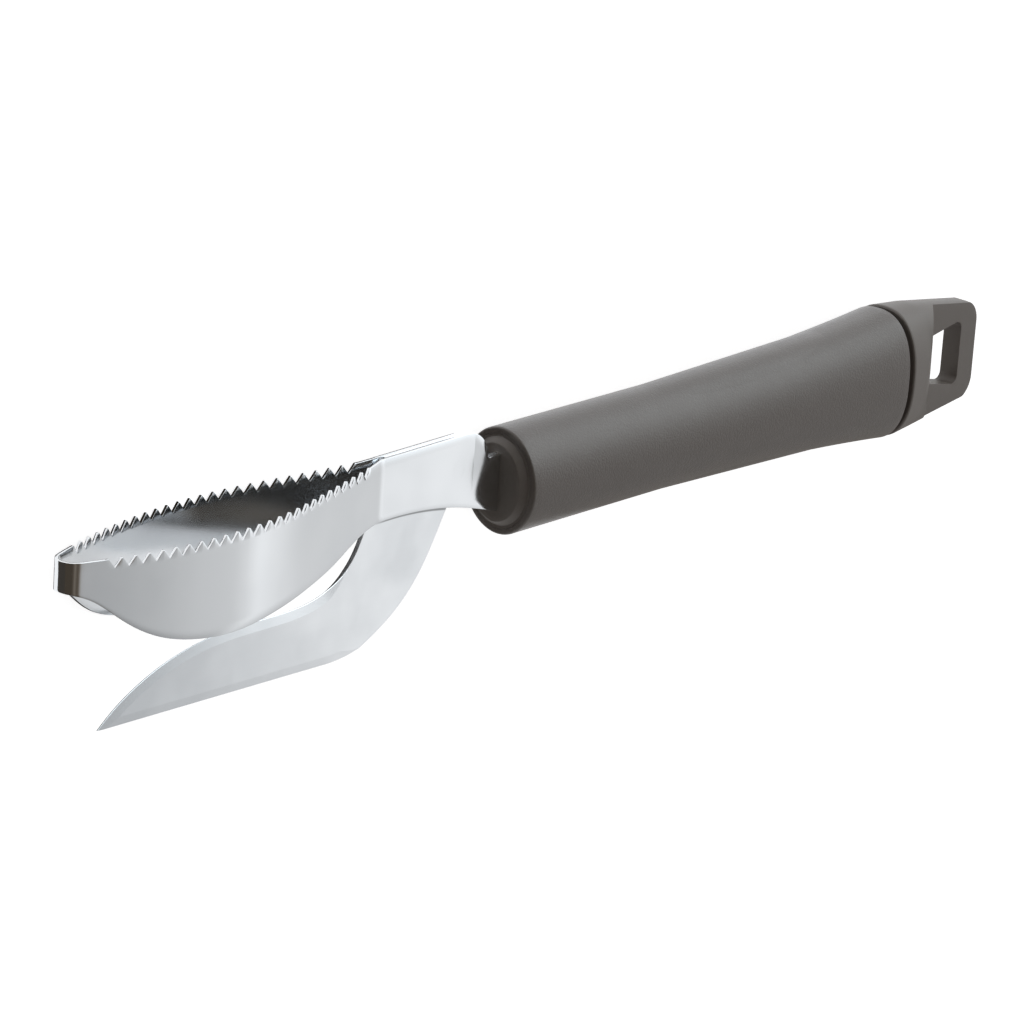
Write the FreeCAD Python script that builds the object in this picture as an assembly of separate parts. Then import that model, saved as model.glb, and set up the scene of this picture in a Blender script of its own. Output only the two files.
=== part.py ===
import FreeCAD, Part
import math
import os

# Fish scaler with a knife. One long steel strip, toothed along its upper edge, is bent round into a
# closed loop. Its two ends meet flat at the neck, hold the blade between them and run back into the
# handle. The handle is a moulded core, whose boss shows in front and whose hanging eye shows behind,
# inside a moulded grip.
#
# Modelling frame, in millimetres: +X runs from the nose to the hanging eye along the handle's axis,
# with X = 0 at the grip's front rim. +Z is the toothed side. Y = 0 is the plane of symmetry.
# At the end the whole tool is laid down on its side, as it comes to rest.

Vector = FreeCAD.Vector

# Sheet steel
STRIP_THICKNESS = 0.65
KNIFE_THICKNESS = 1.0
SHEET_END_X = 42.0

# Loop seen from above, along the middle of the sheet
NOSE_X = -116.8
NOSE_RADIUS = 3.0
BELLY_X = -79.0
BELLY_HALF_WIDTH = 9.1
REAR_FLANK_RADIUS = 78.0
NECK_X = -34.8
NECK_BEND_RADIUS = 3.0

# Toothed upper edge, seen from the side
TOOTH_COUNT = 24
TOOTH_PITCH = 2.86
TOOTH_DEPTH = 1.75
TOOTH_TIP_FLAT = 0.22
TOOTH_ROW_START = 10.5
TIP_EDGE_FRONT_Z = 9.1
TIP_EDGE_MIDDLE_Z = 9.75
TIP_EDGE_REAR_Z = 11.2
SHOULDER_X = -38.6

# Neck and tang of the strip, seen from the side
NECK_SHOULDER_Z = 11.65
NECK_TOP_Z = 12.0
NECK_CORNER_X = -10.9
NECK_CORNER_RADIUS = 6.0
TANG_BOTTOM_Z = -6.0
NOSE_BOTTOM_Z = 3.5
STRIP_LOWER_EDGE = [
    (-112.6, 1.7), (-107.0, -2.4), (-100.5, -6.4), (-92.0, -8.9), (-83.0, -9.65), (-72.0, -8.6),
    (-61.0, -6.9), (-50.0, -4.5), (-42.0, -1.8), (-34.0, -0.75), (-24.0, -0.9), (-13.0, -2.4),
]

# Knife blade, seen from the side
KNIFE_TIP = (-106.1, -25.8)
KNIFE_UPPER_EDGE = [
    (-103.4, -23.6), (-98.0, -20.2), (-88.1, -16.2), (-78.5, -14.3), (-66.0, -13.8), (-56.0, -13.75),
    (-48.9, -12.6), (-42.4, -8.9),
]
KNIFE_THROAT = [(-38.7, -3.4), (-36.5, 2.5)]
KNIFE_EDGE_HEEL = (-46.0, -26.85)
KNIFE_HEEL_MIDDLE = (-41.5, -26.5)
KNIFE_HEEL_END = (-37.5, -25.55)
KNIFE_BACK = [(-30.7, -21.9), (-24.6, -17.0), (-20.4, -11.6), (-17.9, -7.3), (-15.2, -2.0)]
KNIFE_SHANK_INSET = 0.15
KNIFE_SHANK_FRONT_X = -33.0
KNIFE_TANG_BOTTOM_Z = -4.8
KNIFE_EDGE_LAND = 0.12
UPPER_BEVEL_WIDTH = 1.9
LOWER_BEVEL_WIDTH = 1.2

# Grip
GRIP_LENGTH = 117.0
GRIP_HALF_WIDTH = 9.3
GRIP_HALF_HEIGHT = 10.8
GRIP_FLARE_X = 55.0
GRIP_FLARE_WIDTH = 0.36
GRIP_FLARE_HEIGHT = 3.2
GRIP_FLARE_SQUARENESS = 0.41
GRIP_WALL = 1.2
GRIP_RIM_BEVEL = 0.35
RING_POINTS = 24
GRIP_FLARE_RINGS = 6

# Core: front boss, rear collar and hanging eye
BOSS_PROUD = 1.9
BOSS_BEVEL = 1.2
BOSS_BEVEL_DEPTH = 0.6
GROOVE_WIDTH = 1.5
COLLAR_RIDGE_X = 126.0
COLLAR_TAPER_WIDTH = 1.66
COLLAR_TAPER_HEIGHT = 0.45
EYE_END_X = 148.6
EYE_END_HALF_WIDTH = 6.5
EYE_END_HALF_HEIGHT = 10.4
EYE_PLATE_THICKNESS = 4.5
EYE_RAMP_LENGTH = 6.4
EYE_END_CORNER_RADIUS = 5.0
SLOT_FRONT_X = 132.6
SLOT_REAR_X = 143.4
SLOT_FRONT_HALF_HEIGHT = 5.1
SLOT_REAR_HALF_HEIGHT = 7.2
SLOT_CORNER_RADIUS = 1.6

# Room by which cutting bodies stand past what they cut, and how closely positions must agree
MARGIN = 1.0
FAR = 60.0
TOLERANCE = 0.01


def side_point(point):
    """A point of a side view (x, z) as a vector."""
    return Vector(point[0], 0, point[1])


def line(start, end):
    """Straight edge between two vectors."""
    return Part.makeLine(start, end)


def arc(centre, radius, start_deg, end_deg):
    """Arc in the XY plane between two angles, in the order given."""
    angles = [math.radians(a) for a in (start_deg, (start_deg + end_deg) / 2, end_deg)]
    points = [centre + Vector(radius * math.cos(a), radius * math.sin(a), 0) for a in angles]
    return Part.Arc(*points).toShape()


def spline(points, start_tangent=None, end_tangent=None):
    """Smooth curve through points, with both end tangents given or neither."""
    curve = Part.BSplineCurve()
    if start_tangent is None:
        curve.interpolate(Points=points)
    else:
        curve.interpolate(Points=points, InitialTangent=start_tangent, FinalTangent=end_tangent)
    return curve.toShape()


def prism(edges, direction):
    """Solid swept straight from a closed outline, centred on the outline's plane."""
    face = Part.Face(Part.Wire(Part.sortEdges(edges)[0]))
    face.translate(direction * -0.5)
    return face.extrude(direction)


def flank_radius():
    """Radius of the front flank: it touches the nose arc and is level at the belly."""
    run = BELLY_X - NOSE_X - NOSE_RADIUS
    rise = BELLY_HALF_WIDTH
    return (run**2 + rise**2 - NOSE_RADIUS**2) / (2 * (rise - NOSE_RADIUS))


def flat_half_gap():
    """Distance from the symmetry plane to the middle of a strip end at the neck."""
    return (KNIFE_THICKNESS + STRIP_THICKNESS) / 2


def loop_half(offset):
    """Edges of the loop's +Y half from the nose to the sheet's end, offset outwards."""
    nose = Vector(NOSE_X + NOSE_RADIUS, 0, 0)
    front_radius = flank_radius()
    flank = Vector(BELLY_X, BELLY_HALF_WIDTH - front_radius, 0)
    rear = Vector(BELLY_X, BELLY_HALF_WIDTH - REAR_FLANK_RADIUS, 0)
    bend = Vector(NECK_X, flat_half_gap() + NECK_BEND_RADIUS, 0)

    to_nose = nose - flank
    nose_deg = math.degrees(math.atan2(to_nose.y, to_nose.x))
    to_bend = bend - rear
    flare_deg = math.degrees(
        math.atan2(to_bend.x, to_bend.y)
        - math.acos((REAR_FLANK_RADIUS + NECK_BEND_RADIUS) / to_bend.Length)
    )

    nose_arc = arc(nose, NOSE_RADIUS + offset, 180, nose_deg)
    front_arc = arc(flank, front_radius + offset, nose_deg, 90)
    rear_arc = arc(rear, REAR_FLANK_RADIUS + offset, 90, 90 - flare_deg)
    bend_arc = arc(bend, NECK_BEND_RADIUS - offset, -90 - flare_deg, -90)
    flare = line(rear_arc.lastVertex(True).Point, bend_arc.firstVertex(True).Point)
    flat_start = bend_arc.lastVertex(True).Point
    flat = line(flat_start, Vector(SHEET_END_X, flat_start.y, 0))
    return [nose_arc, front_arc, rear_arc, flare, bend_arc, flat]


def mirrored(shapes):
    """The same shapes on the other side of the plane of symmetry."""
    return [shape.mirror(Vector(0, 0, 0), Vector(0, 1, 0)) for shape in shapes]


def loop_band():
    """The bent strip as a band of even height, before its edges are cut."""
    outer = loop_half(STRIP_THICKNESS / 2)
    inner = loop_half(-STRIP_THICKNESS / 2)
    cap = line(outer[-1].lastVertex(True).Point, inner[-1].lastVertex(True).Point)
    edges = outer + inner + [cap]
    return prism(edges + mirrored(edges), Vector(0, 0, FAR))


def tip_edge():
    """Arc on which the tooth tips lie, from ahead of the nose to the shoulder."""
    return Part.Arc(
        side_point((NOSE_X - MARGIN, TIP_EDGE_FRONT_Z)),
        side_point(((NOSE_X + SHOULDER_X) / 2, TIP_EDGE_MIDDLE_Z)),
        side_point((SHOULDER_X, TIP_EDGE_REAR_Z)),
    ).toShape()


def tip_height(x):
    """Height of the tip edge at x."""
    circle = tip_edge().Curve
    drop = math.sqrt(circle.Radius**2 - (x - circle.Center.x) ** 2)
    return circle.Center.z - math.copysign(drop, circle.Center.z)


def neck_corner(inset=0.0):
    """Start, middle and end of the arc that rounds the neck's top corner, moved inwards."""
    centre = side_point((NECK_CORNER_X, NECK_TOP_Z - NECK_CORNER_RADIUS))
    radius = NECK_CORNER_RADIUS - inset
    half = radius * math.sqrt(0.5)
    return [centre + Vector(x, 0, z) for x, z in ((0, radius), (half, half), (radius, 0))]


def strip_silhouette():
    """Side view of the strip, with a plain edge where the teeth will be cut."""
    top = tip_edge()
    shoulder = top.lastVertex(True).Point
    neck_front = side_point((NECK_X, NECK_SHOULDER_Z))
    corner_start, corner_middle, corner_end = neck_corner()
    tang_top = Vector(SHEET_END_X, 0, corner_end.z)
    tang_bottom = side_point((SHEET_END_X, TANG_BOTTOM_Z))
    tang_front = side_point((0, TANG_BOTTOM_Z))
    nose_bottom = side_point((NOSE_X - MARGIN, NOSE_BOTTOM_Z))
    lower = spline([nose_bottom] + [side_point(p) for p in STRIP_LOWER_EDGE] + [tang_front])
    return [
        top,
        line(shoulder, neck_front),
        line(neck_front, corner_start),
        Part.Arc(corner_start, corner_middle, corner_end).toShape(),
        line(corner_end, tang_top),
        line(tang_top, tang_bottom),
        line(tang_bottom, tang_front),
        lower,
        line(nose_bottom, top.firstVertex(True).Point),
    ]


def point_along(edges, length):
    """Point and direction at a length along a chain of edges."""
    for edge in edges:
        if length <= edge.Length:
            parameter = edge.getParameterByLength(length)
            return edge.valueAt(parameter), edge.tangentAt(parameter)
        length -= edge.Length
    raise ValueError("the row of teeth is longer than the strip")


def tooth_notch(length):
    """Wedge that cuts the gap between two teeth, square through the sheet."""
    point, along = point_along(loop_half(0), length)
    bottom_z = tip_height(point.x) - TOOTH_DEPTH
    height = TOOTH_DEPTH + MARGIN
    half = (TOOTH_PITCH - TOOTH_TIP_FLAT) / 2 * height / TOOTH_DEPTH
    bottom = Vector(point.x, point.y, bottom_z)
    left = bottom - along * half + Vector(0, 0, height)
    right = bottom + along * half + Vector(0, 0, height)
    through = along.cross(Vector(0, 0, 1)) * (STRIP_THICKNESS + MARGIN)
    return prism([line(bottom, left), line(left, right), line(right, bottom)], through)


def make_scaler_strip():
    """The toothed strip, bent into its loop."""
    blank = loop_band().common(prism(strip_silhouette(), Vector(0, FAR, 0)))
    notches = [tooth_notch(TOOTH_ROW_START + i * TOOTH_PITCH) for i in range(TOOTH_COUNT + 1)]
    notches += mirrored(notches)
    return blank.cut(Part.makeCompound(notches))


def knife_edges():
    """Side view of the blade: its two ground edges, then the rest of the outline."""
    tip = side_point(KNIFE_TIP)
    throat = [side_point(p) for p in KNIFE_THROAT]
    upper = spline([tip] + [side_point(p) for p in KNIFE_UPPER_EDGE])
    edge_heel = side_point(KNIFE_EDGE_HEEL)
    heel_end = side_point(KNIFE_HEEL_END)
    lower = line(tip, edge_heel)
    heel = Part.Arc(edge_heel, side_point(KNIFE_HEEL_MIDDLE), heel_end).toShape()

    back_points = [heel_end] + [side_point(p) for p in KNIFE_BACK]
    end_direction = back_points[-1] - back_points[-2]
    back = spline(back_points, heel.tangentAt(heel.LastParameter), end_direction.normalize())
    corner_start, corner_middle, corner_end = neck_corner(KNIFE_SHANK_INSET)
    shank = [
        throat[-1],
        side_point((KNIFE_SHANK_FRONT_X, NECK_SHOULDER_Z - KNIFE_SHANK_INSET)),
        corner_start,
    ]
    tang = [
        corner_end,
        Vector(SHEET_END_X, 0, corner_end.z),
        side_point((SHEET_END_X, KNIFE_TANG_BOTTOM_Z)),
        side_point((0, KNIFE_TANG_BOTTOM_Z)),
        back_points[-1],
    ]
    neck_line = [line(a, b) for a, b in zip(shank[:-1], shank[1:])]
    neck_line += [Part.Arc(corner_start, corner_middle, corner_end).toShape()]
    neck_line += [line(a, b) for a, b in zip(tang[:-1], tang[1:])]
    upper_end = upper.lastVertex(True).Point
    throat_curve = spline(
        [upper_end] + throat,
        upper.tangentAt(upper.LastParameter),
        (throat[-1] - throat[-2]).normalize(),
    )
    return upper, [lower, heel], [throat_curve] + neck_line + [back]


def bevel_cutter(spine_edges, inwards, width):
    """Wedge swept along an edge of the blade: it leaves the ground bevel of one side."""
    half = KNIFE_THICKNESS / 2
    slope = (half - KNIFE_EDGE_LAND) / width
    first = spine_edges[0]
    start = first.valueAt(first.FirstParameter)
    inner = start + inwards * (width + MARGIN)
    outer = start - inwards * MARGIN
    low = Vector(0, KNIFE_EDGE_LAND - slope * MARGIN, 0)
    high = Vector(0, half + slope * MARGIN, 0)
    profile = Part.makePolygon([outer + low, inner + high, outer + high, outer + low])
    sweep = Part.BRepOffsetAPI.MakePipeShell(Part.Wire(spine_edges))
    sweep.setBiNormalMode(Vector(0, 1, 0))
    sweep.add(profile)
    sweep.build()
    sweep.makeSolid()
    return sweep.shape()


def square_to(edge, sign):
    """Direction in the side view that stands square to an edge at its start."""
    along = edge.tangentAt(edge.FirstParameter)
    return along.cross(Vector(0, sign, 0)).normalize()


def make_knife_blade():
    """The flat blade with both edges ground from both sides."""
    upper, lower, rest = knife_edges()
    blade = prism([upper] + lower + rest, Vector(0, KNIFE_THICKNESS, 0))
    cutters = [
        bevel_cutter([upper], square_to(upper, -1), UPPER_BEVEL_WIDTH),
        bevel_cutter(lower, square_to(lower[0], 1), LOWER_BEVEL_WIDTH),
    ]
    for cutter in cutters + mirrored(cutters):
        blade = blade.cut(cutter)
    return blade


def ring(x, half_width, half_height, squareness):
    """Closed oval across the handle; squareness 2 is an ellipse, and more is boxier."""
    points = []
    for i in range(RING_POINTS):
        angle = 2 * math.pi * i / RING_POINTS
        y = math.copysign(abs(math.cos(angle)) ** (2 / squareness), math.cos(angle))
        z = math.copysign(abs(math.sin(angle)) ** (2 / squareness), math.sin(angle))
        points.append(Vector(x, half_width * y, half_height * z))
    curve = Part.BSplineCurve()
    curve.interpolate(Points=points, PeriodicFlag=True)
    return Part.Wire(curve.toShape())


def grip_ring(x, inset=0.0):
    """Section of the grip at x: even in front, flaring and growing squarer to the rear."""
    flare = max(0.0, x - GRIP_FLARE_X) / (GRIP_LENGTH - GRIP_FLARE_X)
    return ring(
        x,
        GRIP_HALF_WIDTH + GRIP_FLARE_WIDTH * flare**2 - inset,
        GRIP_HALF_HEIGHT + GRIP_FLARE_HEIGHT * flare**2 - inset,
        2 + GRIP_FLARE_SQUARENESS * flare,
    )


def grip_body(before=0.0, past=0.0, inset=0.0):
    """Handle body from ring to ring along the grip, run on by some length before and past it."""
    step = (GRIP_LENGTH - GRIP_FLARE_X) / GRIP_FLARE_RINGS
    stations = [-before] + [GRIP_FLARE_X + step * i for i in range(GRIP_FLARE_RINGS + 1)]
    if past:
        stations.append(GRIP_LENGTH + past)
    return Part.makeLoft([grip_ring(x, inset) for x in stations], True, True)


def rim_edges(shape, x):
    """Closed edges of a shape that lie wholly in the plane at x."""
    found = []
    for edge in shape.Edges:
        box = edge.BoundBox
        if abs(box.XMin - x) < TOLERANCE and abs(box.XMax - x) < TOLERANCE:
            found.append(edge)
    return found


def make_grip_sleeve():
    """The outer grip, hollow for the core, with bevelled rims."""
    body = grip_body()
    rims = rim_edges(body, 0) + rim_edges(body, GRIP_LENGTH)
    body = body.makeChamfer(GRIP_RIM_BEVEL, rims)
    return body.cut(grip_body(MARGIN, MARGIN, GRIP_WALL))


def front_boss():
    """Round boss in front of the grip, with a bevelled rim, around the sheets' slot."""
    def front(x, inset):
        return ring(x, GRIP_HALF_WIDTH - inset, GRIP_HALF_HEIGHT - inset, 2)

    foot = front(0, GRIP_WALL)
    edge = front(BOSS_BEVEL_DEPTH - BOSS_PROUD, GRIP_WALL)
    face = front(-BOSS_PROUD, GRIP_WALL + BOSS_BEVEL)
    straight = Part.makeLoft([foot, edge], True, True)
    return straight.fuse(Part.makeLoft([edge, face], True, True))


def grip_rear_size():
    """Half width and half height of the grip at its rear end."""
    return GRIP_HALF_WIDTH + GRIP_FLARE_WIDTH, GRIP_HALF_HEIGHT + GRIP_FLARE_HEIGHT


def ridge_size():
    """Half width and half height at the collar's rear ridge."""
    half_width, half_height = grip_rear_size()
    return half_width - COLLAR_TAPER_WIDTH, half_height - COLLAR_TAPER_HEIGHT


def rear_collar():
    """Collar behind the grip, running on as the body that the eye is cut from."""
    squareness = 2 + GRIP_FLARE_SQUARENESS
    front = ring(GRIP_LENGTH + GROOVE_WIDTH, *grip_rear_size(), squareness)
    ridge = ring(COLLAR_RIDGE_X, *ridge_size(), squareness)
    end = ring(EYE_END_X, EYE_END_HALF_WIDTH, EYE_END_HALF_HEIGHT, squareness)
    return Part.makeLoft([front, ridge], True, True).fuse(Part.makeLoft([ridge, end], True, True))


def eye_end_outline():
    """Side view that rounds the two corners at the eye's end, touching its tapered edges."""
    taper = (ridge_size()[1] - EYE_END_HALF_HEIGHT) / (EYE_END_X - COLLAR_RIDGE_X)
    slant = math.hypot(1, taper)
    radius = EYE_END_CORNER_RADIUS
    centre = side_point((EYE_END_X - radius, EYE_END_HALF_HEIGHT + radius * (taper - slant)))
    touch = centre + Vector(taper, 0, 1) * (radius / slant)
    end = centre + Vector(radius, 0, 0)
    middle = centre + (touch + end - centre * 2).normalize() * radius
    upper = [
        line(side_point((GRIP_LENGTH, FAR)), side_point((touch.x, FAR))),
        line(side_point((touch.x, FAR)), touch),
        Part.Arc(touch, middle, end).toShape(),
        line(end, side_point((EYE_END_X, 0))),
    ]
    lower = [edge.mirror(Vector(0, 0, 0), Vector(0, 0, 1)) for edge in upper]
    front = line(side_point((GRIP_LENGTH, -FAR)), side_point((GRIP_LENGTH, FAR)))
    return upper + lower + [front]


def eye_pocket():
    """What is cut from the +Y side of the collar to leave the eye's flat plate."""
    plate = EYE_PLATE_THICKNESS / 2
    ridge = ridge_size()[0]
    foot_x = COLLAR_RIDGE_X + EYE_RAMP_LENGTH
    slope = (ridge - plate) / EYE_RAMP_LENGTH
    corners = [
        Vector(COLLAR_RIDGE_X - MARGIN, ridge + slope * MARGIN, 0),
        Vector(foot_x, plate, 0),
        Vector(EYE_END_X + MARGIN, plate, 0),
        Vector(EYE_END_X + MARGIN, FAR, 0),
        Vector(COLLAR_RIDGE_X - MARGIN, FAR, 0),
    ]
    edges = [line(a, b) for a, b in zip(corners, corners[1:] + corners[:1])]
    return prism(edges, Vector(0, 0, FAR))


def eye_slot():
    """Hanging slot with rounded corners, a little taller towards the end."""
    corners = [
        side_point((SLOT_FRONT_X, -SLOT_FRONT_HALF_HEIGHT)),
        side_point((SLOT_REAR_X, -SLOT_REAR_HALF_HEIGHT)),
        side_point((SLOT_REAR_X, SLOT_REAR_HALF_HEIGHT)),
        side_point((SLOT_FRONT_X, SLOT_FRONT_HALF_HEIGHT)),
    ]
    slot = prism([line(a, b) for a, b in zip(corners, corners[1:] + corners[:1])], Vector(0, FAR, 0))
    uprights = [e for e in slot.Edges if e.BoundBox.YLength > FAR / 2]
    return slot.makeFillet(SLOT_CORNER_RADIUS, uprights)


def hanging_eye():
    """Collar, ramps, flat plate and slot."""
    pocket = eye_pocket()
    body = rear_collar().common(prism(eye_end_outline(), Vector(0, FAR, 0)))
    return body.cut(Part.makeCompound([pocket, eye_slot()] + mirrored([pocket])))


def make_handle_core(sheets):
    """The core moulding, with the sheets' own space cut out of it."""
    shaft = grip_body(0, GROOVE_WIDTH, GRIP_WALL)
    core = shaft.fuse([front_boss(), hanging_eye()])
    return core.cut(sheets)


def lay_down(shapes):
    """Turn the tool on its side, near side up, with the origin under the middle of its box."""
    belly_half = BELLY_HALF_WIDTH + STRIP_THICKNESS / 2
    rise = grip_rear_size()[0] - belly_half
    tilt = math.degrees(math.atan2(rise, GRIP_LENGTH - BELLY_X))
    turn = FreeCAD.Rotation(Vector(0, 1, 0), -tilt) * FreeCAD.Rotation(Vector(1, 0, 0), -90)
    turned = []
    for shape in shapes:
        copy = shape.copy()
        copy.Placement = FreeCAD.Placement(Vector(0, 0, 0), turn)
        turned.append(copy)
    box = Part.makeCompound(turned).optimalBoundingBox(False, False)
    move = Vector(-box.Center.x, -box.Center.y, -box.ZMin)
    for shape in turned:
        shape.translate(move)
    return turned


def main():
    """Makes the four pieces, lays the tool down and writes one file for each piece."""
    os.makedirs("parts", exist_ok=True)
    strip = make_scaler_strip()
    knife = make_knife_blade()
    core = make_handle_core([strip, knife])
    sleeve = make_grip_sleeve()
    names = ["scaler_strip", "knife_blade", "handle_core", "grip_sleeve"]
    for name, shape in zip(names, lay_down([strip, knife, core, sleeve])):
        solid = shape.Solids[0]
        solid.exportStep("parts/" + name + ".step")
        box = solid.BoundBox
        print(name, shape.isValid(), len(shape.Solids), round(shape.Volume, 1), len(shape.Faces),
              [round(v, 2) for v in (box.XMin, box.XMax, box.YMin, box.YMax, box.ZMin, box.ZMax)])


main()
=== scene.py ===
"""Looks of a fish scaler: toothed steel loop, ground blade, soft grip and moulded core.

Sizes are in millimetres in the tool's own frame: +X from the nose of the loop to the hanging eye
with X = 0 at the grip's front rim, +Z towards the teeth, and Y = 0 on the plane of symmetry.
Each finished mesh is then placed in the row frame, in metres, where the tool lies on its side.
"""

import logging
import math
from dataclasses import dataclass, field
from enum import Enum
from typing import Sequence

import bmesh
import bpy
from mathutils import Matrix, Vector


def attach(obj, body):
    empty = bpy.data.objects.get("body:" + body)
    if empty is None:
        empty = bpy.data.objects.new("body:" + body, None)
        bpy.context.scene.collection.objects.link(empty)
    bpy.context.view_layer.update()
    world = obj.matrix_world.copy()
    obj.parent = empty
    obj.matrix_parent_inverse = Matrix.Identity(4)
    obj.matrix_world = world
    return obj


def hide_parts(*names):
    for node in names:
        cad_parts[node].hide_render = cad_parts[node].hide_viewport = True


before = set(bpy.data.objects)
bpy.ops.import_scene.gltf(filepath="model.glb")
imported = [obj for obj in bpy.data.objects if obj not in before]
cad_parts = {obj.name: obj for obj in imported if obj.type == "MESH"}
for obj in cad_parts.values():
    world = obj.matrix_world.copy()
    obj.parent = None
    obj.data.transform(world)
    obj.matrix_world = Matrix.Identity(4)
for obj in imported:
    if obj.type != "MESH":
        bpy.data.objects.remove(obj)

LOG = logging.getLogger("fish_scaler")
MM = 0.001

Point = tuple[float, float]
Point3 = tuple[float, float, float]
Colour = tuple[float, float, float]

BLACK: Colour = (0.0, 0.0, 0.0)
WHITE: Colour = (1.0, 1.0, 1.0)
UP: Point3 = (0.0, 0.0, 1.0)
HALF_TURN = 180
NOISE_MIDDLE = 0.5

# In millimetres, as every mesh is until it is placed.
MERGE_WITHIN = 0.002
SHORTEST_EDGE = 0.001
SAME_PLACE = 1e-6
BROAD_FACE_CORNERS = 8


class Axis(Enum):
    """Names the outputs of a separated vector."""

    X = "X"
    Y = "Y"
    Z = "Z"


class Ends(Enum):
    """How a row of rings ends."""

    CAPPED = "capped"
    JOINED = "joined"


class Turn(Enum):
    """How a rounded edge turns at an outer corner."""

    ARC = "MITER_ARC"
    SHARP = "MITER_SHARP"


class Sock:
    """One output of a node, on which sums are written as Python expressions."""

    def __init__(self, graph: "Graph", socket: bpy.types.NodeSocket) -> None:
        """Keeps the graph and the output."""
        self.graph = graph
        self.socket = socket

    def other(self, name: str) -> "Sock":
        """Another output of the same node."""
        return Sock(self.graph, self.socket.node.outputs[name])

    def __add__(self, value: "Value") -> "Sock":
        """Sum."""
        return self.graph.math("ADD", self, value)

    def __radd__(self, value: "Value") -> "Sock":
        """Sum with the number first."""
        return self.graph.math("ADD", value, self)

    def __sub__(self, value: "Value") -> "Sock":
        """Difference."""
        return self.graph.math("SUBTRACT", self, value)

    def __rsub__(self, value: "Value") -> "Sock":
        """Difference with the number first."""
        return self.graph.math("SUBTRACT", value, self)

    def __mul__(self, value: "Value") -> "Sock":
        """Product."""
        return self.graph.math("MULTIPLY", self, value)

    def __rmul__(self, value: "Value") -> "Sock":
        """Product with the number first."""
        return self.graph.math("MULTIPLY", value, self)

    def __truediv__(self, value: "Value") -> "Sock":
        """Quotient."""
        return self.graph.math("DIVIDE", self, value)

    def __rtruediv__(self, value: "Value") -> "Sock":
        """Quotient with the number first."""
        return self.graph.math("DIVIDE", value, self)

    def __abs__(self) -> "Sock":
        """Size without sign."""
        return self.graph.math("ABSOLUTE", self)

    def at_least(self, value: "Value") -> "Sock":
        """The larger of the two."""
        return self.graph.math("MAXIMUM", self, value)

    def at_most(self, value: "Value") -> "Sock":
        """The smaller of the two."""
        return self.graph.math("MINIMUM", self, value)

    def fraction(self) -> "Sock":
        """What is left after the whole number."""
        return self.graph.math("FRACT", self)

    def sign(self) -> "Sock":
        """Minus one, nought or one."""
        return self.graph.math("SIGN", self)

    def above(self, value: "Value") -> "Sock":
        """One where this is greater, else nought."""
        return self.graph.math("GREATER_THAN", self, value)

    def ramp(self, low: float, high: float) -> "Sock":
        """Smooth step from nought at low to one at high.

        Args:
            low: value at which the step starts.
            high: value at which the step ends.

        Returns:
            The stepped value.
        """
        return self.graph.node(
            "ShaderNodeMapRange",
            {"interpolation_type": "SMOOTHSTEP"},
            {"Value": self, "From Min": low, "From Max": high},
        )


Value = Sock | float | int | bool | tuple | str | bpy.types.ID | None


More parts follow.
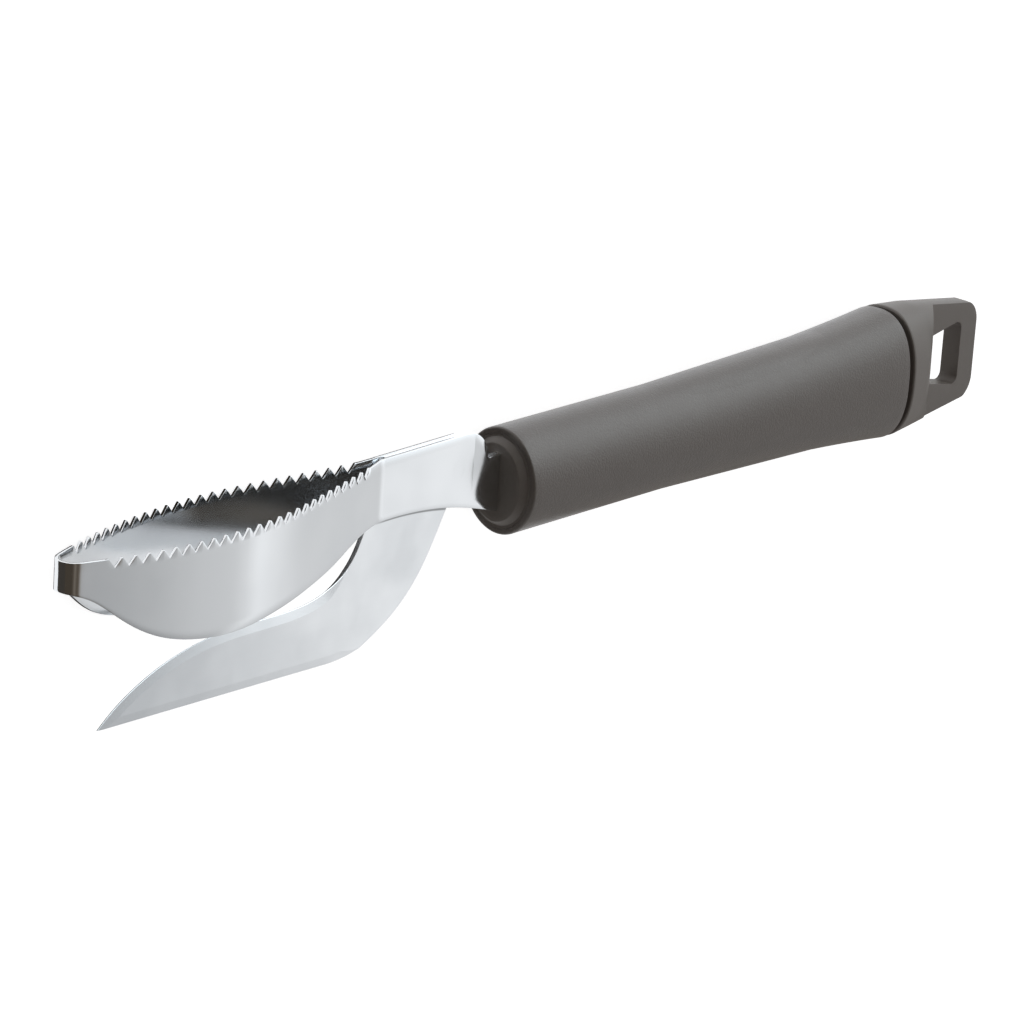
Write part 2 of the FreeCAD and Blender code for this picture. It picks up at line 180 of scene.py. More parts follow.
class Graph:
    """A node tree with one way to add any node and one for Math nodes."""

    MIX_FACTOR, MIX_FIRST, MIX_SECOND, MIX_RESULT = 0, 6, 7, 2

    def __init__(self, tree: bpy.types.NodeTree, owner: bpy.types.Material | None = None) -> None:
        """Keeps the tree and the material that it belongs to."""
        self.tree = tree
        self.owner = owner

    @classmethod
    def material(cls, name: str) -> "Graph":
        """Makes an empty material.

        Args:
            name: the material's name.

        Returns:
            The graph of its node tree.
        """
        made = bpy.data.materials.new(name)
        made.use_nodes = True
        made.node_tree.nodes.clear()
        return cls(made.node_tree, made)

    def node(
        self,
        kind: str,
        settings: dict[str, object] | None = None,
        inputs: dict[str | int, Value] | None = None,
        output: str | int = 0,
    ) -> Sock:
        """Adds a node of any kind.

        Args:
            kind: the node's type.
            settings: properties set first; "stops" gives a colour ramp's stops.
            inputs: a value or a link for each named or numbered socket.
            output: the output to return.

        Returns:
            The chosen output, or the first input of a node that has none.
        """
        made = self.tree.nodes.new(kind)
        for name, value in (settings or {}).items():
            if name == "stops":
                self._set_stops(made.color_ramp, value)
            else:
                setattr(made, name, value)
        for name, value in (inputs or {}).items():
            self._feed(made.inputs[name], value)
        return Sock(self, made.outputs[output]) if made.outputs else Sock(self, made.inputs[0])

    def math(self, operation: str, *values: Value) -> Sock:
        """Adds a Math node for the values in order."""
        return self.node("ShaderNodeMath", {"operation": operation}, dict(enumerate(values)))

    def mix(self, factor: Value, first: Value, second: Value) -> Sock:
        """Blends two colours.

        Args:
            factor: nought for the first, one for the second.
            first: a colour or a link.
            second: a colour or a link.

        Returns:
            The blended colour.
        """
        return self.node(
            "ShaderNodeMix",
            {"data_type": "RGBA"},
            {self.MIX_FACTOR: factor, self.MIX_FIRST: first, self.MIX_SECOND: second},
            self.MIX_RESULT,
        )

    def axes(self, vector: Sock) -> dict[Axis, Sock]:
        """The three parts of a vector."""
        parts = self.node("ShaderNodeSeparateXYZ", inputs={0: vector})
        return {axis: parts.other(axis.value) for axis in Axis}

    def place(self) -> Sock:
        """The point on the surface, in the object's own coordinates."""
        return self.node("ShaderNodeTexCoord", output="Object")

    def noise(
        self, vector: Sock, scale: float, detail: float = 2.0, stretch: Point3 = (1, 1, 1)
    ) -> Sock:
        """Noise about half, for a pattern whose grain is 1 / scale.

        Args:
            vector: where the pattern is read.
            scale: grains in a metre.
            detail: octaves of finer noise.
            stretch: scale of the pattern along each axis.

        Returns:
            The noise from nought to one.
        """
        spread = self.node("ShaderNodeMapping", inputs={"Vector": vector, "Scale": stretch})
        return self.node(
            "ShaderNodeTexNoise", inputs={"Vector": spread, "Scale": scale, "Detail": detail}
        )

    def bump(self, height: Sock, depth: float, below: Sock | None = None) -> Sock:
        """Turns a height into a normal.

        Args:
            height: the pattern from nought to one.
            depth: the pattern's real depth, in metres.
            below: a normal that this one goes on top of.

        Returns:
            The normal.
        """
        return self.node(
            "ShaderNodeBump",
            inputs={"Height": height, "Distance": depth, "Strength": 1.0, "Normal": below},
        )

    def glow(self, colour: Value) -> Sock:
        """A surface that shines evenly in one colour."""
        return self.node("ShaderNodeEmission", inputs={"Color": colour})

    def skin(self, inputs: dict[str | int, Value]) -> bpy.types.Material | None:
        """Ends the tree in the shader of a solid surface, fed by its named sockets."""
        return self.surface(self.node("ShaderNodeBsdfPrincipled", inputs=inputs))

    def surface(self, shader: Sock) -> bpy.types.Material | None:
        """Ends the tree in its output and gives back the material that holds it."""
        self.node("ShaderNodeOutputMaterial", inputs={"Surface": shader})
        return self.owner

    def _feed(self, socket: bpy.types.NodeSocket, value: Value) -> None:
        """Links or sets one input.

        Args:
            socket: the input.
            value: a link, a plain value, or None to leave the input alone.
        """
        if value is None:
            return
        if isinstance(value, Sock):
            self.tree.links.new(value.socket, socket)
        elif socket.type == "RGBA" and isinstance(value, tuple):
            socket.default_value = (*value[:3], 1.0)
        else:
            socket.default_value = value

    @staticmethod
    def _set_stops(ramp: bpy.types.ColorRamp, stops: Sequence[tuple[float, Colour]]) -> None:
        """Writes a colour ramp's stops.

        Args:
            ramp: the colour ramp.
            stops: the place and the colour of each stop.
        """
        while len(ramp.elements) < len(stops):
            ramp.elements.new(0.5)
        for element, (position, colour) in zip(ramp.elements, stops):
            element.position = position
            element.color = (*colour, 1.0)


@dataclass(frozen=True)
class Placement:
    """Where the tool lies: its own frame in millimetres to the row frame in metres."""

    tilt_deg: float = 0.068696
    move: Point3 = (-15.7388, 6.4251, 9.5198)

    def matrix(self) -> Matrix:
        """Puts the tilt, the turn on its side, the move and the scale together.

        Returns:
            The whole placement as one matrix.
        """
        tilt = Matrix.Rotation(math.radians(-self.tilt_deg), 4, "Y")
        side = Matrix.Rotation(math.radians(-90), 4, "X")
        return Matrix.Scale(MM, 4) @ Matrix.Translation(self.move) @ tilt @ side


PLACEMENT = Placement()


@dataclass(frozen=True)
class SheetWave:
    """Long soft wave that rolling leaves in a sheet."""

    scale: float = 45
    depth: float = 0.00001

    def height(self, graph: Graph, place: Sock) -> Sock:
        """The wave's height from nought to one at a place on the surface."""
        return graph.noise(place, self.scale, 1.0)


@dataclass(frozen=True)
class SpotMark:
    """Shallow round mark that a spot weld leaves."""

    centre: Point3
    radius: float = 0.0019
    floor_share: float = 0.55
    depth: float = 0.000012

    def height(self, graph: Graph, place: Sock) -> Sock:
        """Dishes the sheet at the mark.

        Args:
            graph: the material's graph.
            place: the place on the surface.

        Returns:
            The height from nought on the mark's floor to one outside it.
        """
        gap = graph.node(
            "ShaderNodeVectorMath", {"operation": "DISTANCE"}, {0: place, 1: self.centre}, "Value"
        )
        return gap.ramp(self.radius * self.floor_share, self.radius)


@dataclass(frozen=True)
class OutwardSet:
    """Slight outward set of the sheet beside the handle, strongest near its upper edge."""

    from_x: float
    to_x: float
    low_y: float
    high_y: float
    depth: float

    def height(self, graph: Graph, place: Sock) -> Sock:
        """Leans the sheet outwards.

        Args:
            graph: the material's graph.
            place: the place on the surface.

        Returns:
            The height from nought to one.
        """
        parts = graph.axes(place)
        run = (parts[Axis.X] - self.from_x) / (self.to_x - self.from_x)
        return run.at_least(0).at_most(1) * parts[Axis.Y].ramp(self.low_y, self.high_y)


@dataclass(frozen=True)
class PaintedShadowLine:
    """Painted shadow line on the blade, standing in for the contact shadow under the lower edge of
    the sheet that lies on it.
    """

    crest: Point
    middle_x: float
    half_length: float = 0.0125
    full_share: float = 0.6
    bend: float = 6.1
    width: float = 0.00042
    dark_share: float = 0.4
    strength: float = 0.65
    colour: Colour = (0.06, 0.06, 0.06)

    def shade(self, graph: Graph, place: Sock) -> Sock:
        """How strongly the line shows.

        Args:
            graph: the material's graph.
            place: the place on the surface.

        Returns:
            The line's strength where it runs, else nought.
        """
        parts = graph.axes(place)
        away = parts[Axis.X] - self.crest[0]
        off = abs(parts[Axis.Y] - (self.crest[1] - away * away * self.bend))
        reach = abs(parts[Axis.X] - self.middle_x)
        fade = reach.ramp(self.half_length * self.full_share, self.half_length)
        line = 1 - off.ramp(self.width * self.dark_share, self.width)
        return line * (1 - fade) * self.strength


@dataclass(frozen=True)
class SheetSteel:
    """Bright sheet steel: cloudy shade, smears, fine rolling lines and shallow relief, with painted
    shade towards the tip and a painted shadow line where these are given.
    """

    name: str
    colour: Colour
    worn_and_shaded_colour: Colour
    roughness: float
    relief: tuple[SheetWave | SpotMark | OutwardSet, ...] = ()
    # Run of x over which painted shade darkens the steel towards the tip, where given.
    tip_shade: Point | None = None
    painted_shadow_line: PaintedShadowLine | None = None
    cloud_scale: float = 60
    cloud_step: Point = (0.4, 0.65)
    cloud_share: float = 0.5
    cloud_roughness: float = 0.04
    smear_scale: float = 130
    smear_stretch: Point3 = (1.0, 0.6, 1.0)
    smear_step: Point = (0.5, 0.75)
    smear_share: float = 0.3
    line_scale: float = 1500
    line_stretch: Point3 = (0.03, 1.0, 1.0)
    line_share: float = 0.08
    line_roughness: float = 0.01
    wear_share_in_tip_shade: float = 0.5

    def build(self) -> bpy.types.Material | None:
        """Makes the material.

        Returns:
            The steel's material.
        """
        graph = Graph.material(self.name)
        place = graph.place()
        cloud = graph.noise(place, self.cloud_scale).ramp(*self.cloud_step)
        smear = graph.noise(place, self.smear_scale, stretch=self.smear_stretch)
        lines = graph.noise(place, self.line_scale, 1.0, self.line_stretch) - NOISE_MIDDLE
        wear_and_shade = cloud * self.cloud_share + smear.ramp(*self.smear_step) * self.smear_share
        wear_and_shade = wear_and_shade + lines * self.line_share
        # Painted shade: the colour darkens towards the blade's tip, standing in for the dimmer
        # reflection there, and the random wear is halved.
        if self.tip_shade is not None:
            along = graph.axes(place)[Axis.X]
            wear_and_shade = wear_and_shade * self.wear_share_in_tip_shade + 1 - along.ramp(*self.tip_shade)
        colour = graph.mix(wear_and_shade.at_least(0).at_most(1), self.colour, self.worn_and_shaded_colour)
        # Painted shadow line under the lower edge of the sheet that lies on the blade.
        if self.painted_shadow_line is not None:
            colour = graph.mix(self.painted_shadow_line.shade(graph, place), colour, self.painted_shadow_line.colour)
        roughness = self.roughness + cloud * self.cloud_roughness + lines * self.line_roughness
        normal = None
        for mark in self.relief:
            normal = graph.bump(mark.height(graph, place), mark.depth, normal)
        return graph.skin(
            {"Base Color": colour, "Metallic": 1.0, "Roughness": roughness, "Normal": normal}
        )


@dataclass(frozen=True)
class Moulding:
    """Matte moulded skin: fine grain, cloudy shade and slightly rubbed high spots."""

    name: str
    colour: Colour
    rubbed_colour: Colour
    roughness: float
    grain_scale: float
    grain_depth: float
    grain_step: Point = (0.5, 0.75)
    grain_share: float = 0.35
    fine_ratio: float = 2.7
    fine_depth_share: float = 0.4
    cloud_scale: float = 160
    cloud_detail: float = 4.0
    cloud_step: Point = (0.42, 0.72)
    cloud_share: float = 0.15
    gloss_change: float = 0.08
    shine: float = 0.5

    def build(self) -> bpy.types.Material | None:
        """Makes the material.

        Returns:
            The moulding's material.
        """
        graph = Graph.material(self.name)
        place = graph.place()
        grain = graph.noise(place, self.grain_scale)
        fine = graph.noise(place, self.grain_scale * self.fine_ratio, 1.0)
        cloud = graph.noise(place, self.cloud_scale, self.cloud_detail).ramp(*self.cloud_step)
        rubbed = cloud * self.cloud_share + grain.ramp(*self.grain_step) * self.grain_share
        roughness = self.roughness - rubbed * self.gloss_change
        roughness = roughness + (fine - NOISE_MIDDLE) * self.gloss_change
        coarse = graph.bump(grain, self.grain_depth)
        return graph.skin(
            {
                "Base Color": graph.mix(rubbed, self.colour, self.rubbed_colour),
                "Roughness": roughness,
                "Specular IOR Level": self.shine,
                "Normal": graph.bump(fine, self.grain_depth * self.fine_depth_share, coarse),
            }
        )


@dataclass(frozen=True)
class Finishes:
    """The finishes of the tool's pieces."""

    strip: SheetSteel = SheetSteel(
        "strip_steel",
        (0.795, 0.818, 0.842),
        (0.745, 0.77, 0.795),
        0.11,
        relief=(
            SheetWave(),
            SpotMark((-0.0290, 0.0114, 0.0107)),
            OutwardSet(from_x=-0.0247, to_x=-0.0187, low_y=0.0045, high_y=0.0115, depth=0.0005),
        ),
    )
    blade: SheetSteel = SheetSteel(
        "blade_steel",
        (0.89, 0.915, 0.94),
        (0.625, 0.65, 0.675),
        0.285,
        # Painted shade: the blade darkens towards its tip, down to the second colour above.
        tip_shade=(-0.125, -0.06),
        # Painted shadow line along the strip's lower edge, on the blade.
        painted_shadow_line=PaintedShadowLine(crest=(-0.0457, 0.00548), middle_x=-0.04),
    )
    grip: Moulding = Moulding(
        "grip_skin", (0.13, 0.11, 0.096), (0.174, 0.151, 0.135), 0.37, 2400, 0.00008
    )
    core: Moulding = Moulding(
        "core_moulding", (0.152, 0.13, 0.113), (0.18, 0.157, 0.14), 0.5, 4200, 0.000012
    )


def add_object(name: str, data: bpy.types.ID) -> bpy.types.Object:
    """Links a new object to the scene.

    Args:
        name: the object's name.
        data: what it holds, such as a mesh.

    Returns:
        The object.
    """
    made = bpy.data.objects.new(name, data)
    bpy.context.scene.collection.objects.link(made)
    return made


def plain_mesh(name: str, points: Sequence[Point3], faces: list[list[int]]) -> bpy.types.Mesh:
    """Makes a mesh of points and faces as they are.

    Args:
        name: the mesh's name.
        points: its vertices.
        faces: the vertices of each face.

    Returns:
        The mesh.
    """
    mesh = bpy.data.meshes.new(name)
    mesh.from_pydata(points, [], faces)
    return mesh


def flat_mesh(name: str, width: float, height: float) -> bpy.types.Mesh:
    """Makes a flat rectangle round the origin, facing up."""
    x, y = width / 2, height / 2
    return plain_mesh(name, [(-x, -y, 0), (x, -y, 0), (x, y, 0), (-x, y, 0)], [[0, 1, 2, 3]])


def closed_mesh(name: str, points: Sequence[Point3], faces: list[list[int]]) -> bpy.types.Mesh:
    """Makes a mesh with doubles merged and faces pointing outwards.

    Args:
        name: the mesh's name.
        points: its vertices.
        faces: the vertices of each face.

    Returns:
        The mesh.
    """
    mesh = plain_mesh(name, points, faces)
    work = bmesh.new()
    work.from_mesh(mesh)
    bmesh.ops.remove_doubles(work, verts=work.verts, dist=MERGE_WITHIN)
    bmesh.ops.dissolve_degenerate(work, edges=work.edges, dist=SHORTEST_EDGE)
    bmesh.ops.recalc_face_normals(work, faces=work.faces)
    work.to_mesh(mesh)
    work.free()
    return mesh


def ring_faces(rings: int, around: int, ends: Ends = Ends.CAPPED) -> list[list[int]]:
    """Faces between rings of points.

    Args:
        rings: how many rings there are.
        around: how many points each ring has.
        ends: whether the first and last rings are capped, or joined to each other.

    Returns:
        The faces as lists of vertices.
    """
    links = [(i, i + 1) for i in range(rings - 1)]
    if ends is Ends.JOINED:
        links.append((rings - 1, 0))
    sides = [(j, (j + 1) % around) for j in range(around)]
    faces = [
        [a * around + j, a * around + k, b * around + k, b * around + j]
        for a, b in links
        for j, k in sides
    ]
    if ends is Ends.CAPPED:
        faces.append(list(range(around)))
        faces.append(list(range((rings - 1) * around, rings * around)))
    return faces


def superellipse(half_width: float, half_height: float, power: float, angle: float) -> Point:
    """A point of an oval across the handle.

    Args:
        half_width: half of its width, along y.
        half_height: half of its height, along z.
        power: how square it is; 2 is an ellipse, and more is boxier.
        angle: where the point is, in radians.

    Returns:
        The point (y, z).
    """
    c, s = math.cos(angle), math.sin(angle)
    y = math.copysign(abs(c) ** (2 / power), c)
    z = math.copysign(abs(s) ** (2 / power), s)
    return half_width * y, half_height * z


def arc_points(centre: Point, radius: float, start: float, end: float, parts: int) -> list[Point]:
    """Points along an arc between two angles in degrees, both ends included."""
    turn = [math.radians(start + (end - start) * i / parts) for i in range(parts + 1)]
    return [(centre[0] + radius * math.cos(a), centre[1] + radius * math.sin(a)) for a in turn]


@dataclass(frozen=True)
class CubicCurve:
    """A natural cubic curve through points with rising x."""

    points: tuple[Point, ...]

    def slopes(self) -> list[float]:
        """Works out the second slopes from the usual banded sums.

        Returns:
            The second slope at each point.
        """
        n = len(self.points)
        xs = [p[0] for p in self.points]
        zs = [p[1] for p in self.points]
        upper = [0.0] * n
        value = [0.0] * n
        for i in range(1, n - 1):
            before, after = xs[i] - xs[i - 1], xs[i + 1] - xs[i]
            change = 6 * ((zs[i + 1] - zs[i]) / after - (zs[i] - zs[i - 1]) / before)
            pivot = 2 * (before + after) - before * upper[i - 1]
            upper[i] = after / pivot
            value[i] = (change - before * value[i - 1]) / pivot
        second = [0.0] * n
        for i in range(n - 2, 0, -1):
            second[i] = value[i] - upper[i] * second[i + 1]
        return second

    def sample(self, xs: Sequence[float]) -> list[float]:
        """Heights at each x.

        Args:
            xs: where the curve is read.

        Returns:
            The height at each.
        """
        second = self.slopes()
        found = []
        for x in xs:
            i = 0
            while i < len(self.points) - 2 and x > self.points[i + 1][0]:
                i += 1
            (x0, z0), (x1, z1) = self.points[i], self.points[i + 1]
            run = x1 - x0
            a, b = (x1 - x) / run, (x - x0) / run
            bend = ((a**3 - a) * second[i] + (b**3 - b) * second[i + 1]) * run * run / 6
            found.append(a * z0 + b * z1 + bend)
        return found


def lengths_along(line: Sequence[Point]) -> list[float]:
    """Adds up a line's length.

    Args:
        line: the line's points.

    Returns:
        The length from its start to each point.
    """
    reach = [0.0]
    for a, b in zip(line[:-1], line[1:]):
        reach.append(reach[-1] + math.dist(a, b))
    return reach


def read_between(keys: Sequence[float], values: Sequence[float], at: float) -> float:
    """Reads a table of values on the straight line between its two nearest rows.

    Args:
        keys: rising keys.
        values: the value at each key.
        at: the key to read at.

    Returns:
        The value there.
    """
    i = next(k for k in range(1, len(keys)) if keys[k] >= at - SAME_PLACE)
    share = (at - keys[i - 1]) / (keys[i] - keys[i - 1])
    return values[i - 1] + share * (values[i] - values[i - 1])


def curve_through(points: Sequence[Point], step: float) -> list[Point]:
    """Smooth line through points that may turn back, read along its length.

    Args:
        points: the points (x, z) in order.
        step: about how far apart the new points are.

    Returns:
        Points along the line, with both ends.
    """
    along = lengths_along(points)
    count = max(2, round(along[-1] / step))
    reads = [along[-1] * i / count for i in range(count + 1)]
    xs = CubicCurve(tuple(zip(along, [p[0] for p in points]))).sample(reads)
    zs = CubicCurve(tuple(zip(along, [p[1] for p in points]))).sample(reads)
    return list(zip(xs, zs))


@dataclass
class Piece:
    """What every piece of the tool shares: how its mesh is finished and handed over."""

    node: str = ""
    piece_name: str = ""
    slot: str = ""
    edge_round: float = 0.0
    edge_parts: int = 2
    sharp_deg: float = 32.0
    smooth_deg: float = 32.0

    def finish(
        self, mesh: bpy.types.Mesh, material: bpy.types.Material | None
    ) -> bpy.types.Object:
        """Rounds the edges, places the mesh in the row frame and lets it stand for its node.

        Args:
            mesh: the piece's mesh, in millimetres in the tool's frame.
            material: its finish.

        Returns:
            The piece, which rides on the tool's body.
        """
        piece = add_object(self.piece_name, mesh)
        if self.edge_round:
            self.round_edges(piece, self.edge_round, self.edge_parts, self.sharp_deg, Turn.ARC)
        piece.data.transform(PLACEMENT.matrix())
        piece.data.materials.clear()
        piece.data.materials.append(material)
        piece.data.shade_smooth()
        piece.data.set_sharp_from_angle(angle=math.radians(self.smooth_deg))
        self._keep_flat(piece.data)
        piece.data.update()
        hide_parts(self.node)
        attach(piece, "root")
        LOG.info("%s: %d faces", self.piece_name, len(piece.data.polygons))
        return piece

    def round_edges(
        self, piece: bpy.types.Object, width: float, parts: int, sharp_deg: float, turn: Turn
    ) -> None:
        """Rounds a piece's sharp edges.

        Args:
            piece: the piece.
            width: width of the rounding.
            parts: faces across the rounding.
            sharp_deg: edges over this angle are rounded.
            turn: how the rounding turns at an outer corner.
        """
        bevel = piece.modifiers.new("edge_round", "BEVEL")
        bevel.width = width
        bevel.segments = parts
        bevel.limit_method = "ANGLE"
        bevel.angle_limit = math.radians(sharp_deg)
        bevel.miter_outer = turn.value
        self.apply(piece)

    @staticmethod
    def _keep_flat(mesh: bpy.types.Mesh) -> None:
        """Marks the edges of the broad flat faces sharp, so that they shade flat.

        Args:
            mesh: the piece's mesh.
        """
        for face in mesh.polygons:
            if face.loop_total > BROAD_FACE_CORNERS:
                for i in face.loop_indices:
                    mesh.edges[mesh.loops[i].edge_index].use_edge_sharp = True

    @staticmethod
    def apply(piece: bpy.types.Object) -> None:
        """Turns a piece's modifiers into a plain mesh.

        Args:
            piece: the piece.
        """
        graph = bpy.context.evaluated_depsgraph_get()
        made = bpy.data.meshes.new_from_object(piece.evaluated_get(graph))
        piece.modifiers.clear()
        piece.data = made


@dataclass
class LoopPath:
    """The line that the middle of the strip follows, seen from above, for its +Y half."""

    nose_x: float = -116.8
    nose_radius: float = 3.0
    belly_x: float = -79.0
    belly_half_width: float = 9.1
    rear_radius: float = 78.0
    neck_x: float = -34.8
    bend_radius: float = 3.0
    flat_half_gap: float = 0.825
    end_x: float = 12.0
    step: float = 0.2
    fewest_steps: int = 4

    def points(self) -> list[Point]:
        """Draws the nose, the flank, the belly, the bend and the flat end, tangent to each other.

        Returns:
            Points (x, y) from the nose to the sheet's end.
        """
        run = self.belly_x - self.nose_x - self.nose_radius
        rise = self.belly_half_width
        nose = (self.nose_x + self.nose_radius, 0.0)
        front_radius = (run**2 + rise**2 - self.nose_radius**2) / (2 * (rise - self.nose_radius))
        flank = (self.belly_x, rise - front_radius)
        rear = (self.belly_x, rise - self.rear_radius)
        bend = (self.neck_x, self.flat_half_gap + self.bend_radius)
        nose_deg = math.degrees(math.atan2(nose[1] - flank[1], nose[0] - flank[0]))
        reach = math.dist(bend, rear)
        flare = math.degrees(
            math.atan2(bend[0] - rear[0], bend[1] - rear[1])
            - math.acos((self.rear_radius + self.bend_radius) / reach)
        )
        line = self._arc(nose, self.nose_radius, 180, nose_deg)
        line += self._arc(flank, front_radius, nose_deg, 90)
        line += self._arc(rear, self.rear_radius, 90, 90 - flare)
        line += self._arc(bend, self.bend_radius, -90 - flare, -90)
        line.append((self.end_x, self.flat_half_gap))
        ends = zip(line[1:], line[:-1])
        return line[:1] + [here for here, before in ends if math.dist(here, before) > SAME_PLACE]

    def _arc(self, centre: Point, radius: float, start: float, end: float) -> list[Point]:
        """Points along an arc between two angles in degrees, about a step apart."""
        count = round(math.radians(abs(end - start)) * radius / self.step)
        return arc_points(centre, radius, start, end, max(self.fewest_steps, count))


@dataclass
class ScalerStrip(Piece):
    """The toothed strip, cut flat and then bent round the loop."""

    node: str = "scaler_strip"
    piece_name: str = "toothed_loop"
    slot: str = "strip_steel"
    edge_round: float = 0.09
    path: LoopPath = field(default_factory=LoopPath)
    thickness: float = 0.65
    tooth_count: int = 24
    pitch: float = 2.86
    depth: float = 1.75
    tip_flat: float = 0.22
    first_notch: float = 10.5
    tip_front: Point = (-117.8, 9.1)
    tip_middle: Point = (-77.7, 9.75)
    shoulder: Point = (-38.6, 11.2)
    neck_shoulder_z: float = 11.65
    neck_top_z: float = 12.0
    corner_x: float = -10.9
    corner_radius: float = 6.0
    tang_bottom_z: float = -6.0
    lower_edge: tuple[Point, ...] = (
        (-117.8, 3.5), (-112.6, 1.7), (-107.0, -2.4), (-100.5, -6.4), (-92.0, -8.9),
        (-83.0, -9.65), (-72.0, -8.6), (-61.0, -6.9), (-50.0, -4.5), (-42.0, -1.8),
        (-34.0, -0.75), (-24.0, -0.9), (-13.0, -2.4), (0.0, -6.0),
    )
    column_step: float = 0.7
    closest_columns: float = 0.01
    corner_step_deg: int = 6
    rows: int = 9
    under_notch: float = 0.3
    phase_lift: float = 100.0

    def build(self, finish: SheetSteel) -> bpy.types.Object:
        """Cuts the flat blank, bends it and gives it its thickness.

        Args:
            finish: the steel.

        Returns:
            The piece.
        """
        line = self.path.points()
        blank = add_object(self.piece_name + "_blank", self._blank(line))
        guide = self._guide(line)
        material = finish.build()
        self._bend(blank, guide, material)
        self.apply(blank)
        solid = blank.modifiers.new("sheet", "SOLIDIFY")
        solid.thickness = self.thickness
        solid.offset = 0.0
        solid.use_even_offset = True
        self.apply(blank)
        mesh = blank.data
        bpy.data.objects.remove(blank)
        bpy.data.objects.remove(guide)
        return self.finish(mesh, material)

    def _columns(self, line: Sequence[Point], reach: Sequence[float]) -> list[float]:
        """Finds where the blank needs a column of points.

        Args:
            line: the path of one half.
            reach: the length at each point of the path.

        Returns:
            Lengths along the sheet, from the nose on.
        """
        marks = [0.0, reach[-1]]
        flank = (self.pitch - self.tip_flat) / 2
        for i in range(self.tooth_count + 1):
            notch = self.first_notch + i * self.pitch
            marks += [notch - flank, notch, notch + flank]
        xs = [p[0] for p in line]
        corner = [
            self.corner_x + self.corner_radius * math.sin(math.radians(a))
            for a in range(0, 91, self.corner_step_deg)
        ]
        marks += [read_between(xs, reach, x) for x in (self.shoulder[0], self.path.neck_x, *corner)]
        marks.sort()
        columns = [marks[0]]
        for mark in marks[1:]:
            gap = mark - columns[-1]
            if gap < self.closest_columns:
                continue
            parts = max(1, math.ceil(gap / self.column_step))
            columns += [columns[-1] + gap * (k + 1) / parts for k in range(parts)]
        return columns

    def _top(self, x: float) -> float:
        """Follows the tooth tips, the shoulder, the neck and its rounded corner.

        Args:
            x: where the height is read.

        Returns:
            Height of the upper edge there, before the notches.
        """
        if x <= self.shoulder[0]:
            return self._tip_height(x)
        if x <= self.corner_x:
            corners = (self.shoulder[0], self.path.neck_x, self.corner_x)
            heights = (self.shoulder[1], self.neck_shoulder_z, self.neck_top_z)
            return read_between(corners, heights, x)
        over = min(x - self.corner_x, self.corner_radius)
        drop = self.corner_radius - math.sqrt(self.corner_radius**2 - over**2)
        return self.neck_top_z - drop

    def _tip_height(self, x: float) -> float:
        """Draws the arc that the tooth tips touch through three of its points.

        Args:
            x: where the height is read.

        Returns:
            Height of the arc there.
        """
        (x0, z0), (x1, z1), (x2, z2) = self.tip_front, self.tip_middle, self.shoulder
        d = 2 * (x0 * (z1 - z2) + x1 * (z2 - z0) + x2 * (z0 - z1))
        a, b, c = x0**2 + z0**2, x1**2 + z1**2, x2**2 + z2**2
        cx = (a * (z1 - z2) + b * (z2 - z0) + c * (z0 - z1)) / d
        cz = (a * (x2 - x1) + b * (x0 - x2) + c * (x1 - x0)) / d
        radius = math.dist((cx, cz), (x0, z0))
        return cz - math.copysign(math.sqrt(radius**2 - (x - cx) ** 2), cz)

    def _blank(self, line: Sequence[Point]) -> bpy.types.Mesh:
        """Makes the flat sheet, with the attribute "rim" on its upper edge.

        Args:
            line: the path of one half.

        Returns:
            The sheet, where X is the length from the nose.
        """
        reach = lengths_along(line)
        half = self._columns(line, reach)
        columns = [-s for s in reversed(half[1:])] + half
        xs = [p[0] for p in line]
        where = [read_between(reach, xs, abs(s)) for s in columns]
        points, rim = [], []
        for s, x, low in zip(columns, where, CubicCurve(self.lower_edge).sample(where)):
            low = self.tang_bottom_z if x > 0 else low
            top = self._top(x)
            below = top - self.depth - self.under_notch
            shares = [j / (self.rows - 1) for j in range(self.rows)]
            points += [(s, 0, low + (below - low) * share) for share in shares] + [(s, 0, top)]
            rim += [0.0] * self.rows + [1.0]
        tall = self.rows + 1
        faces = [
            [i * tall + j, (i + 1) * tall + j, (i + 1) * tall + j + 1, i * tall + j + 1]
            for i in range(len(columns) - 1)
            for j in range(tall - 1)
        ]
        mesh = plain_mesh(self.piece_name + "_blank", points, faces)
        mesh.attributes.new("rim", "FLOAT", "POINT").data.foreach_set("value", rim)
        return mesh

    @staticmethod
    def _guide(line: Sequence[Point]) -> bpy.types.Object:
        """Makes the curve that the blank is bent along.

        Args:
            line: the path of one half.

        Returns:
            The curve's object.
        """
        curve = bpy.data.curves.new("loop_path", "CURVE")
        curve.dimensions = "3D"
        spline = curve.splines.new("POLY")
        spline.points.add(len(line) - 1)
        for point, (x, y) in zip(spline.points, line):
            point.co = (x, y, 0, 1)
        return add_object("loop_path", curve)

